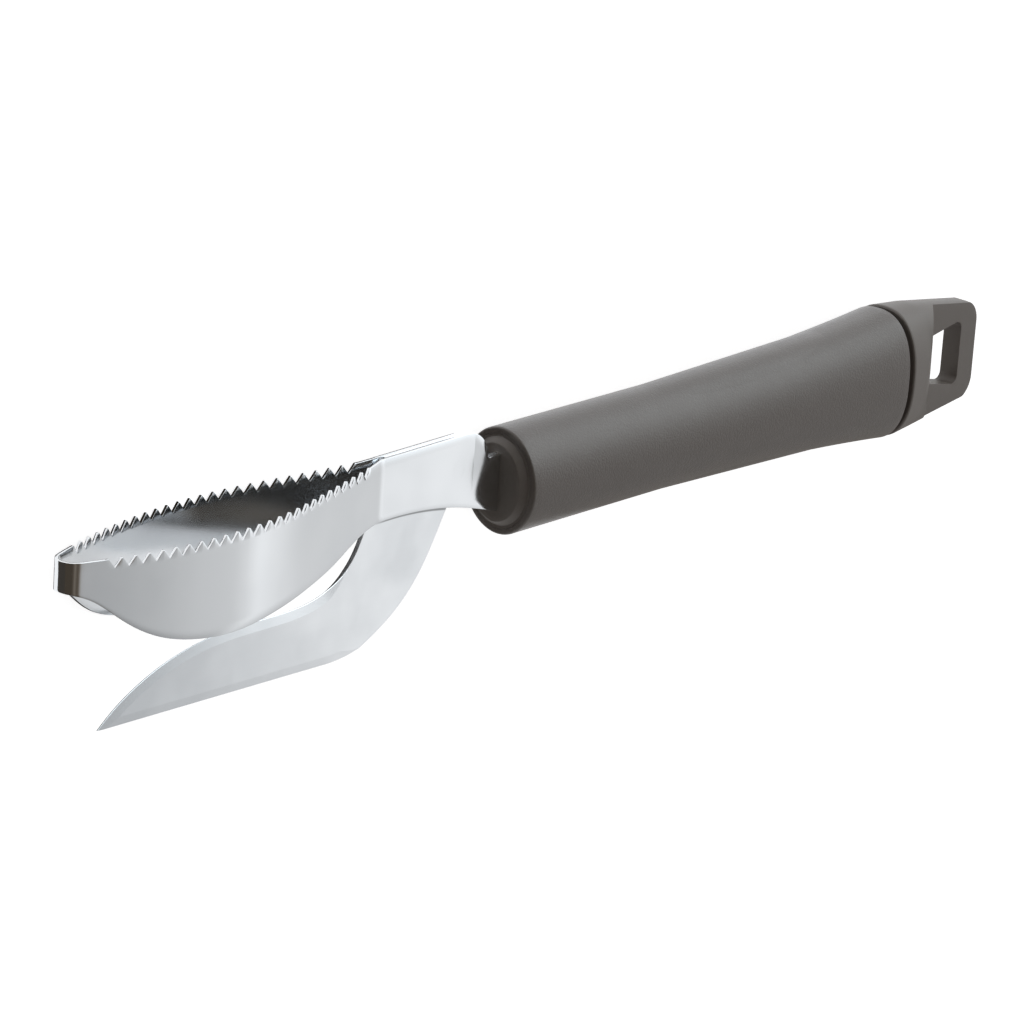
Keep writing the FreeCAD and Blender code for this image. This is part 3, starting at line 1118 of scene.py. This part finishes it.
    def _bend(
        self,
        blank: bpy.types.Object,
        guide: bpy.types.Object,
        material: bpy.types.Material | None,
    ) -> None:
        """Adds the modifier that notches the teeth and bends the blank.

        Args:
            blank: the flat sheet.
            guide: the curve that it follows.
            material: the finish that the tree sets.
        """
        tree = bpy.data.node_groups.new("notch_and_bend", "GeometryNodeTree")
        values = {
            "Path": (guide, "NodeSocketObject"),
            "Tooth pitch": (self.pitch, "NodeSocketFloat"),
            "Tooth depth": (self.depth, "NodeSocketFloat"),
            "Tip flat": (self.tip_flat, "NodeSocketFloat"),
            "First notch": (self.first_notch, "NodeSocketFloat"),
            "Tooth count": (float(self.tooth_count), "NodeSocketFloat"),
            "Finish": (material, "NodeSocketMaterial"),
        }
        face = tree.interface
        face.new_socket(name="Sheet", in_out="INPUT", socket_type="NodeSocketGeometry")
        face.new_socket(name="Loop", in_out="OUTPUT", socket_type="NodeSocketGeometry")
        keys = {
            name: face.new_socket(name=name, in_out="INPUT", socket_type=kind).identifier
            for name, (_, kind) in values.items()
        }
        graph = Graph(tree)
        given = graph.node("NodeGroupInput")
        pitch = given.other("Tooth pitch")
        first = given.other("First notch")
        flank = (pitch - given.other("Tip flat")) / 2
        place = graph.axes(graph.node("GeometryNodeInputPosition"))
        length = abs(place[Axis.X])
        phase = ((length - first) / pitch + self.phase_lift).fraction()
        from_notch = (0.5 - abs(phase - 0.5)) * pitch
        last = first + given.other("Tooth count") * pitch
        in_row = length.above(first - flank) * (1 - length.above(last + flank))
        notch = (1 - from_notch / flank).at_least(0) * in_row * given.other("Tooth depth")
        rim = graph.node(
            "GeometryNodeInputNamedAttribute", {"data_type": "FLOAT"}, {"Name": "rim"}, "Attribute"
        )
        height = place[Axis.Z] - rim * notch
        path = graph.node(
            "GeometryNodeObjectInfo", inputs={"Object": given.other("Path")}, output="Geometry"
        )
        on_path = graph.node(
            "GeometryNodeSampleCurve",
            {"mode": "LENGTH", "use_all_curves": True},
            {"Curves": path, "Length": length},
            "Position",
        )
        spot = graph.axes(on_path)
        moved = graph.node(
            "ShaderNodeCombineXYZ",
            inputs={"X": spot[Axis.X], "Y": spot[Axis.Y] * place[Axis.X].sign(), "Z": height},
        )
        bent = graph.node(
            "GeometryNodeSetPosition", inputs={"Geometry": given.other("Sheet"), "Position": moved}
        )
        real = graph.node("GeometryNodeRealizeInstances", inputs={"Geometry": bent})
        dressed = graph.node(
            "GeometryNodeSetMaterial",
            inputs={"Geometry": real, "Material": given.other("Finish")},
        )
        graph.node("NodeGroupOutput", inputs={"Loop": dressed})
        modifier = blank.modifiers.new("notch_and_bend", "NODES")
        modifier.node_group = tree
        for name, (value, _) in values.items():
            modifier[keys[name]] = value


@dataclass
class KnifeBlade(Piece):
    """The ground blade with its shank between the strip's two ends."""

    node: str = "knife_blade"
    piece_name: str = "ground_blade"
    slot: str = "blade_steel"
    edge_round: float = 0.09
    smooth_deg: float = 9.0
    thickness: float = 1.0
    land: float = 0.12
    upper_bevel: float = 1.9
    lower_bevel: float = 1.7
    lower_depth: float = 0.55
    fade: float = 5.0
    curve_step: float = 0.8
    heel_step: float = 0.7
    edge_step: float = 1.5
    corner_parts: int = 12
    tip: Point = (-106.1, -25.8)
    upper: tuple[Point, ...] = (
        (-103.4, -23.6), (-98.0, -20.2), (-88.1, -16.2), (-78.5, -14.3), (-66.0, -13.8),
        (-56.0, -13.75), (-48.9, -12.6), (-42.4, -8.9), (-38.7, -3.4), (-36.5, 2.5),
    )
    heel: tuple[Point, ...] = ((-46.0, -26.85), (-41.5, -26.5), (-37.5, -25.55))
    back: tuple[Point, ...] = (
        (-30.7, -21.9), (-24.6, -17.0), (-20.4, -11.6), (-17.9, -7.3), (-15.2, -2.0),
    )
    tang: tuple[Point, ...] = ((0.0, -4.8), (12.0, -4.8), (12.0, 6.0))
    corner_centre: Point = (-10.9, 6.0)
    corner_radius: float = 5.85
    shank_front: Point = (-33.0, 11.5)
    bevel_end_x: float = -42.4

    def build(self, finish: SheetSteel) -> bpy.types.Object:
        """Makes both faces, the ground bevels and the walls.

        Args:
            finish: the steel.

        Returns:
            The piece.
        """
        upper = curve_through([self.tip, *self.upper], self.curve_step)
        heel = curve_through(self.heel, self.heel_step)
        lower = self._divide(self.tip, self.heel[0], self.edge_step) + heel[1:]
        back = curve_through([self.heel[-1], *self.back], self.curve_step)[1:]
        corner = arc_points(self.corner_centre, self.corner_radius, 0, 90, self.corner_parts)
        rest = back + list(self.tang) + corner + [self.shank_front]
        top_width = self._widths(upper, self.upper_bevel, self.bevel_end_x)
        low_width = self._widths(lower, self.lower_bevel, self.heel[-1][0])
        inner_top = self._offset(upper, top_width, -1)
        inner_low = self._offset(lower, low_width, 1)
        meeting = self._meeting(inner_top, inner_low)
        inner_top = [p if p[0] > meeting[0] else meeting for p in inner_top]
        inner_low = [p if p[0] > meeting[0] else meeting for p in inner_low]
        outline = list(reversed(upper)) + lower[1:] + rest
        inner = list(reversed(inner_top)) + inner_low[1:] + rest
        shares = [w / self.upper_bevel for w in reversed(top_width)]
        shares += [self.lower_depth * w / self.lower_bevel for w in low_width[1:]]
        shares += [0.0] * len(rest)
        return self.finish(self._solid(outline, inner, shares), finish.build())

    @staticmethod
    def _divide(start: Point, end: Point, step: float) -> list[Point]:
        """Divides a straight line evenly.

        Args:
            start: its first point.
            end: its last point.
            step: about how far apart the points are.

        Returns:
            The points, with both ends.
        """
        (x0, z0), (x1, z1) = start, end
        count = max(1, round(math.dist(start, end) / step))
        return [(x0 + (x1 - x0) * i / count, z0 + (z1 - z0) * i / count) for i in range(count + 1)]

    def _widths(self, line: Sequence[Point], width: float, end_x: float) -> list[float]:
        """Bevel width at each point, which fades out towards an x."""
        return [width * max(0.0, min(1.0, (end_x - x) / self.fade)) for x, _ in line]

    @staticmethod
    def _offset(line: Sequence[Point], widths: Sequence[float], side: int) -> list[Point]:
        """Moves points square to their line.

        Args:
            line: the points.
            widths: how far each one moves.
            side: 1 for the left of the line, -1 for the right.

        Returns:
            The moved points.
        """
        moved = []
        for i, (x, z) in enumerate(line):
            a, b = line[max(i - 1, 0)], line[min(i + 1, len(line) - 1)]
            run = math.dist(a, b)
            nx, nz = -(b[1] - a[1]) / run * side, (b[0] - a[0]) / run * side
            moved.append((x + nx * widths[i], z + nz * widths[i]))
        return moved

    @staticmethod
    def _meeting(top: Sequence[Point], low: Sequence[Point]) -> Point:
        """Finds where the two inner bevel lines cross near the tip.

        Args:
            top: the upper inner line, from the tip on.
            low: the lower inner line, from the tip on.

        Returns:
            The crossing.
        """
        slope = (low[2][1] - low[1][1]) / (low[2][0] - low[1][0])
        for a, b in zip(top[:-1], top[1:]):
            gap_a, gap_b = (z - low[1][1] - slope * (x - low[1][0]) for x, z in (a, b))
            if gap_a < 0 <= gap_b:
                share = gap_a / (gap_a - gap_b)
                return a[0] + share * (b[0] - a[0]), a[1] + share * (b[1] - a[1])
        return top[0]

    def _solid(
        self, outline: Sequence[Point], inner: Sequence[Point], shares: Sequence[float]
    ) -> bpy.types.Mesh:
        """Joins the outline and the inner line into a closed solid.

        Args:
            outline: the blade's outer line.
            inner: the line where the ground bevels end.
            shares: how fully ground each point is, from nought to one.

        Returns:
            The mesh.
        """
        half = self.thickness / 2
        thin = [half - (half - self.land) * share for share in shares]
        points = [(x, -half, z) for x, z in inner]
        points += [(x, -y, z) for (x, z), y in zip(outline, thin)]
        points += [(x, y, z) for (x, z), y in zip(outline, thin)]
        points += [(x, half, z) for x, z in inner]
        return closed_mesh(self.piece_name, points, ring_faces(4, len(outline)))


@dataclass
class Grip(Piece):
    """The soft outer grip: even in front, flaring and growing squarer to the rear."""

    node: str = "grip_sleeve"
    piece_name: str = "soft_grip"
    slot: str = "grip_rubber"
    length: float = 117.0
    half_width: float = 9.3
    half_height: float = 10.8
    flare_x: float = 55.0
    flare_width: float = 0.36
    flare_height: float = 3.2
    flare_squareness: float = 0.41
    wall: float = 1.2
    rim_radius: float = 0.5
    rim_step_deg: int = 15
    around: int = 144
    step: float = 1.6

    def size_at(self, x: float) -> Point3:
        """Works out the grip's outside.

        Args:
            x: where it is read.

        Returns:
            Half width, half height and squareness there.
        """
        flare = max(0.0, x - self.flare_x) / (self.length - self.flare_x)
        return (
            self.half_width + self.flare_width * flare**2,
            self.half_height + self.flare_height * flare**2,
            2 + self.flare_squareness * flare,
        )

    def ring(self, x: float, inset: float) -> list[Point3]:
        """Draws the grip's outline across the handle.

        Args:
            x: where the ring is.
            inset: how far inside the grip's skin it is.

        Returns:
            The ring's points.
        """
        width, height, power = self.size_at(x)
        turn = [2 * math.pi * i / self.around for i in range(self.around)]
        spots = [superellipse(width - inset, height - inset, power, a) for a in turn]
        return [(x, y, z) for y, z in spots]

    def loft(self, name: str, stations: Sequence[Point], ends: Ends) -> bpy.types.Mesh:
        """Makes a body of rings, each given by its x and inset."""
        points = [p for x, inset in stations for p in self.ring(x, inset)]
        return closed_mesh(name, points, ring_faces(len(stations), self.around, ends))

    def build(self, finish: Moulding) -> bpy.types.Object:
        """Lofts the grip's outside, its rounded rims and its bore.

        Args:
            finish: the grip's skin.

        Returns:
            The piece.
        """
        radius = self.rim_radius
        straight = self.length - 2 * radius
        turn = [math.radians(a) for a in range(90, -1, -self.rim_step_deg)]
        front = [(radius * (1 - math.sin(a)), radius * (1 - math.cos(a))) for a in turn]
        count = round(straight / self.step)
        body = [(radius + straight * i / count, 0.0) for i in range(1, count)]
        rear = [(self.length - x, inset) for x, inset in reversed(front)]
        bore = [(self.length, self.wall), (0.0, self.wall)]
        mesh = self.loft(self.piece_name, front + body + rear + bore, Ends.JOINED)
        return self.finish(mesh, finish.build())


@dataclass
class HandleCore(Piece):
    """The core moulding: front boss, groove, collar, ramps, flat plate and hanging slot."""

    grip: Grip = field(default_factory=Grip)
    node: str = "handle_core"
    piece_name: str = "core_with_eye"
    slot: str = "core_plastic"
    boss_proud: float = 1.3
    boss_inset: float = 1.83
    boss_bevel: float = 1.12
    boss_root: float = 3.0
    boss_foot: Point = (-0.06, 0.05)
    boss_edge: tuple[Point, ...] = ((0.16, -0.15), (0.05, -0.04), (0.0, 0.08), (0.0, 1.0))
    parting_gap: float = 0.06
    groove: float = 1.5
    groove_depth: float = 2.2
    groove_root: float = 6.0
    groove_overlap: float = 0.6
    collar_round: tuple[Point, ...] = ((0.0, 0.45), (0.15, 0.15), (0.45, 0.0))
    ridge_x: float = 126.0
    taper_width: float = 1.66
    taper_height: float = 0.45
    eye_end_x: float = 148.6
    eye_half_width: float = 6.5
    eye_half_height: float = 10.4
    plate: float = 4.5
    ramp: float = 6.4
    end_radius: float = 5.0
    slot_front: Point = (132.6, 5.1)
    slot_rear: Point = (143.4, 7.2)
    slot_radius: float = 1.6
    slot_parts: int = 6
    slot_reach: float = 20.0
    rounding: float = 0.55
    rounding_parts: int = 3
    rounding_deg: float = 24.0
    side_rows: int = 10
    top_columns: int = 28
    collar_parts: int = 6
    ramp_parts: int = 8
    plate_parts: int = 6
    end_angles: range = range(6, 91, 7)

    def build(self, finish: Moulding) -> bpy.types.Object:
        """Makes the rear body, cuts the slot, rounds its edges, and joins the boss and groove.

        Args:
            finish: the core's moulding.

        Returns:
            The piece.
        """
        rear = add_object("rear_body", self._rear_mesh())
        cutter = add_object("slot_cutter", self._slot_mesh())
        cut = rear.modifiers.new("slot", "BOOLEAN")
        cut.operation = "DIFFERENCE"
        cut.solver = "EXACT"
        cut.object = cutter
        self.apply(rear)
        self.round_edges(
            rear, self.rounding, self.rounding_parts, self.rounding_deg, Turn.SHARP
        )
        work = bmesh.new()
        for mesh in (rear.data, self._boss_mesh(), self._groove_mesh()):
            work.from_mesh(mesh)
        joined = bpy.data.meshes.new(self.piece_name)
        work.to_mesh(joined)
        work.free()
        bpy.data.objects.remove(rear)
        bpy.data.objects.remove(cutter)
        return self.finish(joined, finish.build())

    @staticmethod
    def _blend(start: Sequence[float], end: Sequence[float], share: float) -> list[float]:
        """Sizes between two rows of sizes, at a share of the way."""
        return [a + share * (b - a) for a, b in zip(start, end)]

    @property
    def _front_x(self) -> float:
        """Where the collar starts, behind the groove."""
        return self.grip.length + self.groove

    def _sizes(self, x: float) -> Point3:
        """Works out the outside of the collar and of the eye's body.

        Args:
            x: where it is read.

        Returns:
            Half width, half height and squareness there.
        """
        width, height, power = self.grip.size_at(self.grip.length)
        ridge = (width - self.taper_width, height - self.taper_height)
        if x <= self.ridge_x:
            share = (x - self._front_x) / (self.ridge_x - self._front_x)
            size = self._blend((width, height), ridge, share)
        else:
            share = (x - self.ridge_x) / (self.eye_end_x - self.ridge_x)
            size = self._blend(ridge, (self.eye_half_width, self.eye_half_height), share)
        return size[0], size[1], power

    def _cut_width(self, x: float) -> float:
        """Cuts the eye's body down to the ramps and the plate.

        Args:
            x: where it is read.

        Returns:
            Half of the thickness that is left there.
        """
        own = self._sizes(x)[0]
        if x <= self.ridge_x:
            return own
        full = self._sizes(self.ridge_x)[0]
        share = min(1.0, (x - self.ridge_x) / self.ramp)
        return min(own, full + share * (self.plate / 2 - full))

    def _end_height(self, x: float) -> float:
        """Rounds the two corners of the eye's end.

        Args:
            x: where it is read.

        Returns:
            Half of the height that is left there, without a limit ahead of the corners.
        """
        height = self._sizes(self.ridge_x)[1]
        taper = (height - self.eye_half_height) / (self.eye_end_x - self.ridge_x)
        slant = math.hypot(1, taper)
        cx = self.eye_end_x - self.end_radius
        cz = self.eye_half_height + self.end_radius * (taper - slant)
        if x <= cx + taper * self.end_radius / slant:
            return math.inf
        return cz + math.sqrt(max(0.0, self.end_radius**2 - (x - cx) ** 2))

    def _rear_mesh(self) -> bpy.types.Mesh:
        """Lofts the collar, the ramps and the plate.

        Returns:
            The closed body from the collar's front to the eye's end.
        """
        plate_x = self.ridge_x + self.ramp
        round_x = self.eye_end_x - self.end_radius
        spans = (
            (self._front_x, self.ridge_x, self.collar_parts),
            (self.ridge_x, plate_x, self.ramp_parts),
            (plate_x, round_x, self.plate_parts),
        )
        rows = [(self._front_x + x, inset) for x, inset in self.collar_round]
        for start, end, parts in spans:
            rows += [(start + (end - start) * i / parts, 0.0) for i in range(1, parts + 1)]
        for angle in self.end_angles:
            rows.append((round_x + self.end_radius * math.sin(math.radians(angle)), 0.0))
        points = [p for x, inset in rows for p in self._rear_ring(x, inset)]
        around = 2 * (self.top_columns + self.side_rows)
        return closed_mesh("rear_body", points, ring_faces(len(rows), around))

    def _rear_ring(self, x: float, inset: float) -> list[Point3]:
        """Draws a crowned top, a flat side, a crowned bottom and a flat side.

        Args:
            x: where the ring is.
            inset: how far inside the outline it is.

        Returns:
            The ring's points.
        """
        width, height, power = self._sizes(x)
        width, height = width - inset, height - inset
        cut = min(self._cut_width(x), width)
        end = self._end_height(x)

        def crown(y: float) -> float:
            """Height of the crowned top over a width."""
            share = min(1.0, abs(y) / width)
            return min(end, height * (1 - share**power) ** (1 / power))

        turns = [math.pi * (i / self.top_columns - 0.5) for i in range(self.top_columns)]
        spots = [(cut * math.sin(turn), crown(cut * math.sin(turn))) for turn in turns]
        corner = crown(cut)
        spots += [(cut, corner * (1 - 2 * i / self.side_rows)) for i in range(self.side_rows)]
        spots += [(-y, -z) for y, z in spots]
        return [(x, y, z) for y, z in spots]

    def _slot_mesh(self) -> bpy.types.Mesh:
        """Draws the hanging slot's four sides with rounded corners.

        Returns:
            A prism through the whole plate.
        """
        (x0, z0), (x1, z1) = self.slot_front, self.slot_rear
        corners = [(x0, -z0), (x1, -z1), (x1, z1), (x0, z0)]
        line: list[Point] = []
        for i, here in enumerate(corners):
            before = Vector(corners[i - 1]) - Vector(here)
            after = Vector(corners[(i + 1) % len(corners)]) - Vector(here)
            half = before.angle(after) / 2
            reach = self.slot_radius / math.tan(half)
            middle = (before.normalized() + after.normalized()).normalized()
            centre = Vector(here) + middle * (self.slot_radius / math.sin(half))
            start = Vector(here) + before.normalized() * reach - centre
            turn = math.pi - 2 * half
            for k in range(self.slot_parts + 1):
                spot = centre + Matrix.Rotation(turn * k / self.slot_parts, 2) @ start
                line.append((spot.x, spot.y))
        points = [(x, y, z) for y in (-self.slot_reach, self.slot_reach) for x, z in line]
        return closed_mesh("slot_cutter", points, ring_faces(2, len(line)))

    def _boss_mesh(self) -> bpy.types.Mesh:
        """Makes a disc on a sloping wall that rises from a flat ring in the grip's front.

        Returns:
            The closed boss.
        """
        rim = self.boss_inset
        face = rim + self.boss_bevel
        foot = self.grip.wall + self.parting_gap
        stations = [(self.boss_root, foot), (0.0, foot), (0.0, rim)]
        stations.append((self.boss_foot[0], rim + self.boss_foot[1]))
        stations += [(x - self.boss_proud, face + inset) for x, inset in self.boss_edge]
        return self.grip.loft("boss", stations, Ends.CAPPED)

    def _groove_mesh(self) -> bpy.types.Mesh:
        """Makes the shaft that shows at the bottom of the groove in front of the collar."""
        ends = (self.grip.length - self.groove_root, self._front_x + self.groove_overlap)
        return self.grip.loft("groove", [(x, self.groove_depth) for x in ends], Ends.CAPPED)


class Shows(Enum):
    """What a card shows in."""

    MIRRORS = "mirrors"
    LIGHT = "light"


def show_in(item: bpy.types.Object, shows: Shows) -> None:
    """Hides a stage object from the camera, and from either mirrors or plain light.

    Args:
        item: the stage object.
        shows: what it still shows in.
    """
    item.visible_camera = False
    item.visible_transmission = False
    item.visible_glossy = shows is Shows.MIRRORS
    item.visible_diffuse = shows is Shows.LIGHT
    item.visible_shadow = shows is Shows.LIGHT


@dataclass(frozen=True)
class Card:
    """A flat card of one even tone beside or under the tool, never seen by the camera; the cards
    that show only in mirrors are painted shade and painted light, and the one that shows in light
    is a flag.
    """

    name: str
    centre: Point3
    size: Point
    colour: Colour = (0.026, 0.022, 0.018)
    facing: Point3 = UP
    shows: Shows = Shows.MIRRORS

    def build(self) -> bpy.types.Object:
        """Makes the card as a stage object.

        Returns:
            The card.
        """
        turn = Vector(self.facing).to_track_quat("Z", "Y").to_matrix().to_4x4()
        mesh = flat_mesh(self.name, *self.size)
        mesh.transform(Matrix.Translation(self.centre) @ turn)
        card = add_object(self.name, mesh)
        graph = Graph.material(self.name)
        mesh.materials.append(graph.surface(graph.glow(self.colour)))
        show_in(card, self.shows)
        return card


@dataclass(frozen=True)
class Tent:
    """Half-round scrim over the table, lit unevenly, that shows only in shiny surfaces.

    The tone runs with the angle round the Y axis, from level on the +X side up and over.
    """

    centre_x: float = -0.06
    radius: float = 0.9
    half_length: float = 1.3
    span_deg: Point = (-1, 181)
    panels: int = 60
    tones: tuple[Point, ...] = (
        (0, 0.72), (14, 0.72), (22, 0.75), (31, 0.87), (36, 0.93), (39, 0.98), (41, 1.04),
        (43, 0.93), (45.5, 0.84), (49, 0.70), (53, 0.67), (59, 0.65), (70, 0.55), (80, 0.49),
        (90, 0.46), (97, 0.30), (102, 0.11), (108, 0.07), (116, 0.10), (124, 0.15),
        (132, 0.08), (140, 0.05), (180, 0.05),
    )
    top_light: Colour = (2.55, 2.75, 2.85)
    rise_y: Point = (-0.2, 0.1)
    rise_turn: Point = (0.24, 0.34)
    rise_share: float = 0.28
    top_y: Point = (0.22, 0.3)
    top_turn: Point = (0.5, 0.6)
    dim_y: Point = (-0.8, -0.35)
    dim_share: float = 0.35
    warmth: float = 0.28
    warm_below: float = 0.4

    def build(self) -> bpy.types.Object:
        """Makes the scrim as a stage object.

        Returns:
            The scrim.
        """
        line = arc_points((self.centre_x, 0.0), self.radius, *self.span_deg, self.panels)
        points = [(x, y, z) for x, z in line for y in (-self.half_length, self.half_length)]
        faces = [[2 * i, 2 * i + 1, 2 * i + 3, 2 * i + 2] for i in range(len(line) - 1)]
        mesh = plain_mesh("tent", points, faces)
        tent = add_object("tent", mesh)
        mesh.materials.append(self._cloth())
        show_in(tent, Shows.MIRRORS)
        return tent

    def _cloth(self) -> bpy.types.Material | None:
        """Tones the scrim over its whole face.

        Returns:
            Its material.
        """
        graph = Graph.material("tent_cloth")
        place = graph.axes(graph.place())
        turn = graph.math("ARCTAN2", place[Axis.Z], place[Axis.X] - self.centre_x) / math.pi
        stops = [(angle / HALF_TURN, self._tint(tone)) for angle, tone in self.tones]
        tone = graph.node("ShaderNodeValToRGB", {"stops": stops}, {"Fac": turn})
        across = place[Axis.Y]
        dim = (1 - across.ramp(*self.dim_y)) * self.dim_share
        rise = across.ramp(*self.rise_y) * self.rise_share * (1 - turn.ramp(*self.rise_turn))
        top = across.ramp(*self.top_y) * (1 - turn.ramp(*self.top_turn))
        for share, colour in ((dim, BLACK), (rise, self.top_light), (top, self.top_light)):
            tone = graph.mix(share, tone, colour)
        return graph.surface(graph.glow(tone))

    def _tint(self, tone: float) -> Colour:
        """A grey that turns warmer as it gets darker."""
        warmth = self.warmth * max(0.0, 1 - tone / self.warm_below)
        return tone * (1 + warmth), tone, tone * (1 - warmth)


@dataclass(frozen=True)
class SoftLamp:
    """A round lamp that looks at the tool and doesn't show in mirrors."""

    name: str = "key_lamp"
    place: Point3 = (0.25, 0.95, 0.12)
    size: float = 0.5
    power: float = 1.4
    colour: Colour = (0.88, 0.95, 1.0)

    def build(self) -> bpy.types.Object:
        """Makes the lamp.

        Returns:
            The lamp.
        """
        data = bpy.data.lights.new(self.name, "AREA")
        data.shape = "DISK"
        data.size = self.size
        data.energy = self.power
        data.color = self.colour
        lamp = add_object(self.name, data)
        turn = Vector(self.place).to_track_quat("Z", "Y").to_matrix().to_4x4()
        lamp.matrix_world = Matrix.Translation(self.place) @ turn
        lamp.visible_glossy = False
        return lamp


@dataclass
class Studio:
    """White table, a low key lamp, an even sky, the tent, a flag, and cards of painted shade and
    painted light that show only in mirrors round the tool.
    """

    floor_size: float = 6.0
    floor_white: float = 0.8
    floor_glow: float = 0.84
    sky_level: float = 0.45
    lamp: SoftLamp = SoftLamp()
    tent: Tent = Tent()
    cards: tuple[Card, ...] = (
        # Painted shade that shows only in mirrors, standing in for the table's shade round the
        # tool.
        Card("felt_under_nose", (-0.1075, -0.00175, 0.00003), (0.045, 0.0405)),
        Card("felt_under_loop", (-0.0515, 0.0096, 0.00003), (0.067, 0.0248)),
        Card("felt_behind_teeth", (-0.077, 0.0232, 0.00006), (0.07, 0.0046)),
        Card("felt_under_edge", (-0.07, -0.0105, 0.00003), (0.03, 0.0154), (0.74, 0.74, 0.74)),
        Card("felt_by_neck", (-0.0365, -0.0125, 0.00003), (0.037, 0.0194), (0.32, 0.3, 0.28)),
        Card("felt_by_grip", (0.17, -0.184, 0.0002), (0.28, 0.352), (0.36, 0.34, 0.32)),
        # Painted light that shows only in mirrors, behind the tool.
        Card("sheet_behind", (0.115, 0.3385, 0.0002), (0.27, 0.643), (1.5, 1.54, 1.58)),
        # Painted shade in mirrors, standing in for the dark room in front of the tool.
        Card("felt_in_front", (-0.5543, 0.0, 0.0004), (0.8314, 1.6), (0.05, 0.044, 0.038)),
        Card(
            "flag_front", (-0.46, 0.0, 0.475), (1.8, 0.95), (0.06, 0.052, 0.046),
            facing=(1.0, 0.0, 0.0), shows=Shows.LIGHT,
        ),
    )

    def build(self) -> None:
        """Makes the floor, the lamp, the tent, the cards and the sky."""
        self._floor()
        for item in (self.lamp, self.tent, *self.cards):
            item.build()
        self._sky()

    def _floor(self) -> None:
        """Makes a pale table that turns white to the camera and keeps the shadow."""
        mesh = flat_mesh("table", self.floor_size, self.floor_size)
        floor = add_object("table", mesh)
        graph = Graph.material("table_white")
        matte = graph.node("ShaderNodeBsdfDiffuse", inputs={"Color": (self.floor_white,) * 3})
        glow = graph.glow(graph.mix(self._seen(graph), BLACK, (self.floor_glow,) * 3))
        both = graph.node("ShaderNodeAddShader", inputs={0: matte, 1: glow})
        mesh.materials.append(graph.surface(both))

    @staticmethod
    def _seen(graph: Graph) -> Sock:
        """Tells apart what is seen from what only lights the tool.

        Args:
            graph: the material's or the world's graph.

        Returns:
            One for rays from the camera, a mirror or glass, else nought.
        """
        path = graph.node("ShaderNodeLightPath", output="Is Camera Ray")
        mirrored = path.other("Is Glossy Ray").at_least(path.other("Is Transmission Ray"))
        return path.at_least(mirrored)

    def _sky(self) -> None:
        """White to the camera and in mirrors, soft grey as light."""
        world = bpy.data.worlds.new("studio")
        world.use_nodes = True
        world.node_tree.nodes.clear()
        bpy.context.scene.world = world
        graph = Graph(world.node_tree)
        tone = graph.mix(self._seen(graph), (self.sky_level,) * 3, WHITE)
        back = graph.node("ShaderNodeBackground", inputs={"Color": tone})
        graph.node("ShaderNodeOutputWorld", inputs={"Surface": back})


@dataclass
class PhotoCamera:
    """The camera of the photograph, fitted in the tool's own frame."""

    azimuth_deg: float = -49.463
    elevation_deg: float = 18.790
    roll_deg: float = 4.001
    distance: float = 1043.81
    focal_px: float = 5416.45
    origin_px: Point = (498.74, 480.94)
    frame_px: float = 1024.0
    sensor: float = 36.0
    clip: Point = (0.05, 20.0)

    def build(self) -> bpy.types.Object:
        """Makes the camera and sets it as the scene's.

        Returns:
            The camera.
        """
        a, e = math.radians(self.azimuth_deg), math.radians(self.elevation_deg)
        roll = math.radians(self.roll_deg)
        back = Vector((math.sin(a) * math.cos(e), -math.cos(a) * math.cos(e), math.sin(e)))
        level = (-back).cross(Vector(UP)).normalized()
        upright = level.cross(-back)
        right = math.cos(roll) * level + math.sin(roll) * upright
        up = math.cos(roll) * upright - math.sin(roll) * level
        middle = self.frame_px / 2
        shift_x = (self.origin_px[0] - middle) / self.focal_px * self.distance
        shift_y = (middle - self.origin_px[1]) / self.focal_px * self.distance
        place = back * self.distance - right * shift_x - up * shift_y
        turn = Matrix((right, up, back)).transposed().to_4x4()
        whole = PLACEMENT.matrix() @ Matrix.Translation(place) @ turn
        spot, angle, _ = whole.decompose()
        data = bpy.data.cameras.new("photo_camera")
        data.sensor_width = self.sensor
        data.lens = self.focal_px * self.sensor / self.frame_px
        data.clip_start, data.clip_end = self.clip
        camera = add_object("photo_camera", data)
        camera.matrix_world = Matrix.Translation(spot) @ angle.to_matrix().to_4x4()
        bpy.context.scene.camera = camera
        return camera


def main() -> None:
    """Builds the pieces, the studio and the camera."""
    logging.basicConfig(level=logging.INFO)
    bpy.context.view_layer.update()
    finishes = Finishes()
    grip = Grip()
    ScalerStrip().build(finishes.strip)
    KnifeBlade().build(finishes.blade)
    grip.build(finishes.grip)
    HandleCore(grip=grip).build(finishes.core)
    Studio().build()
    PhotoCamera().build()
    bpy.context.scene.view_settings.view_transform = "Standard"


if __name__ == "__main__":
    main()
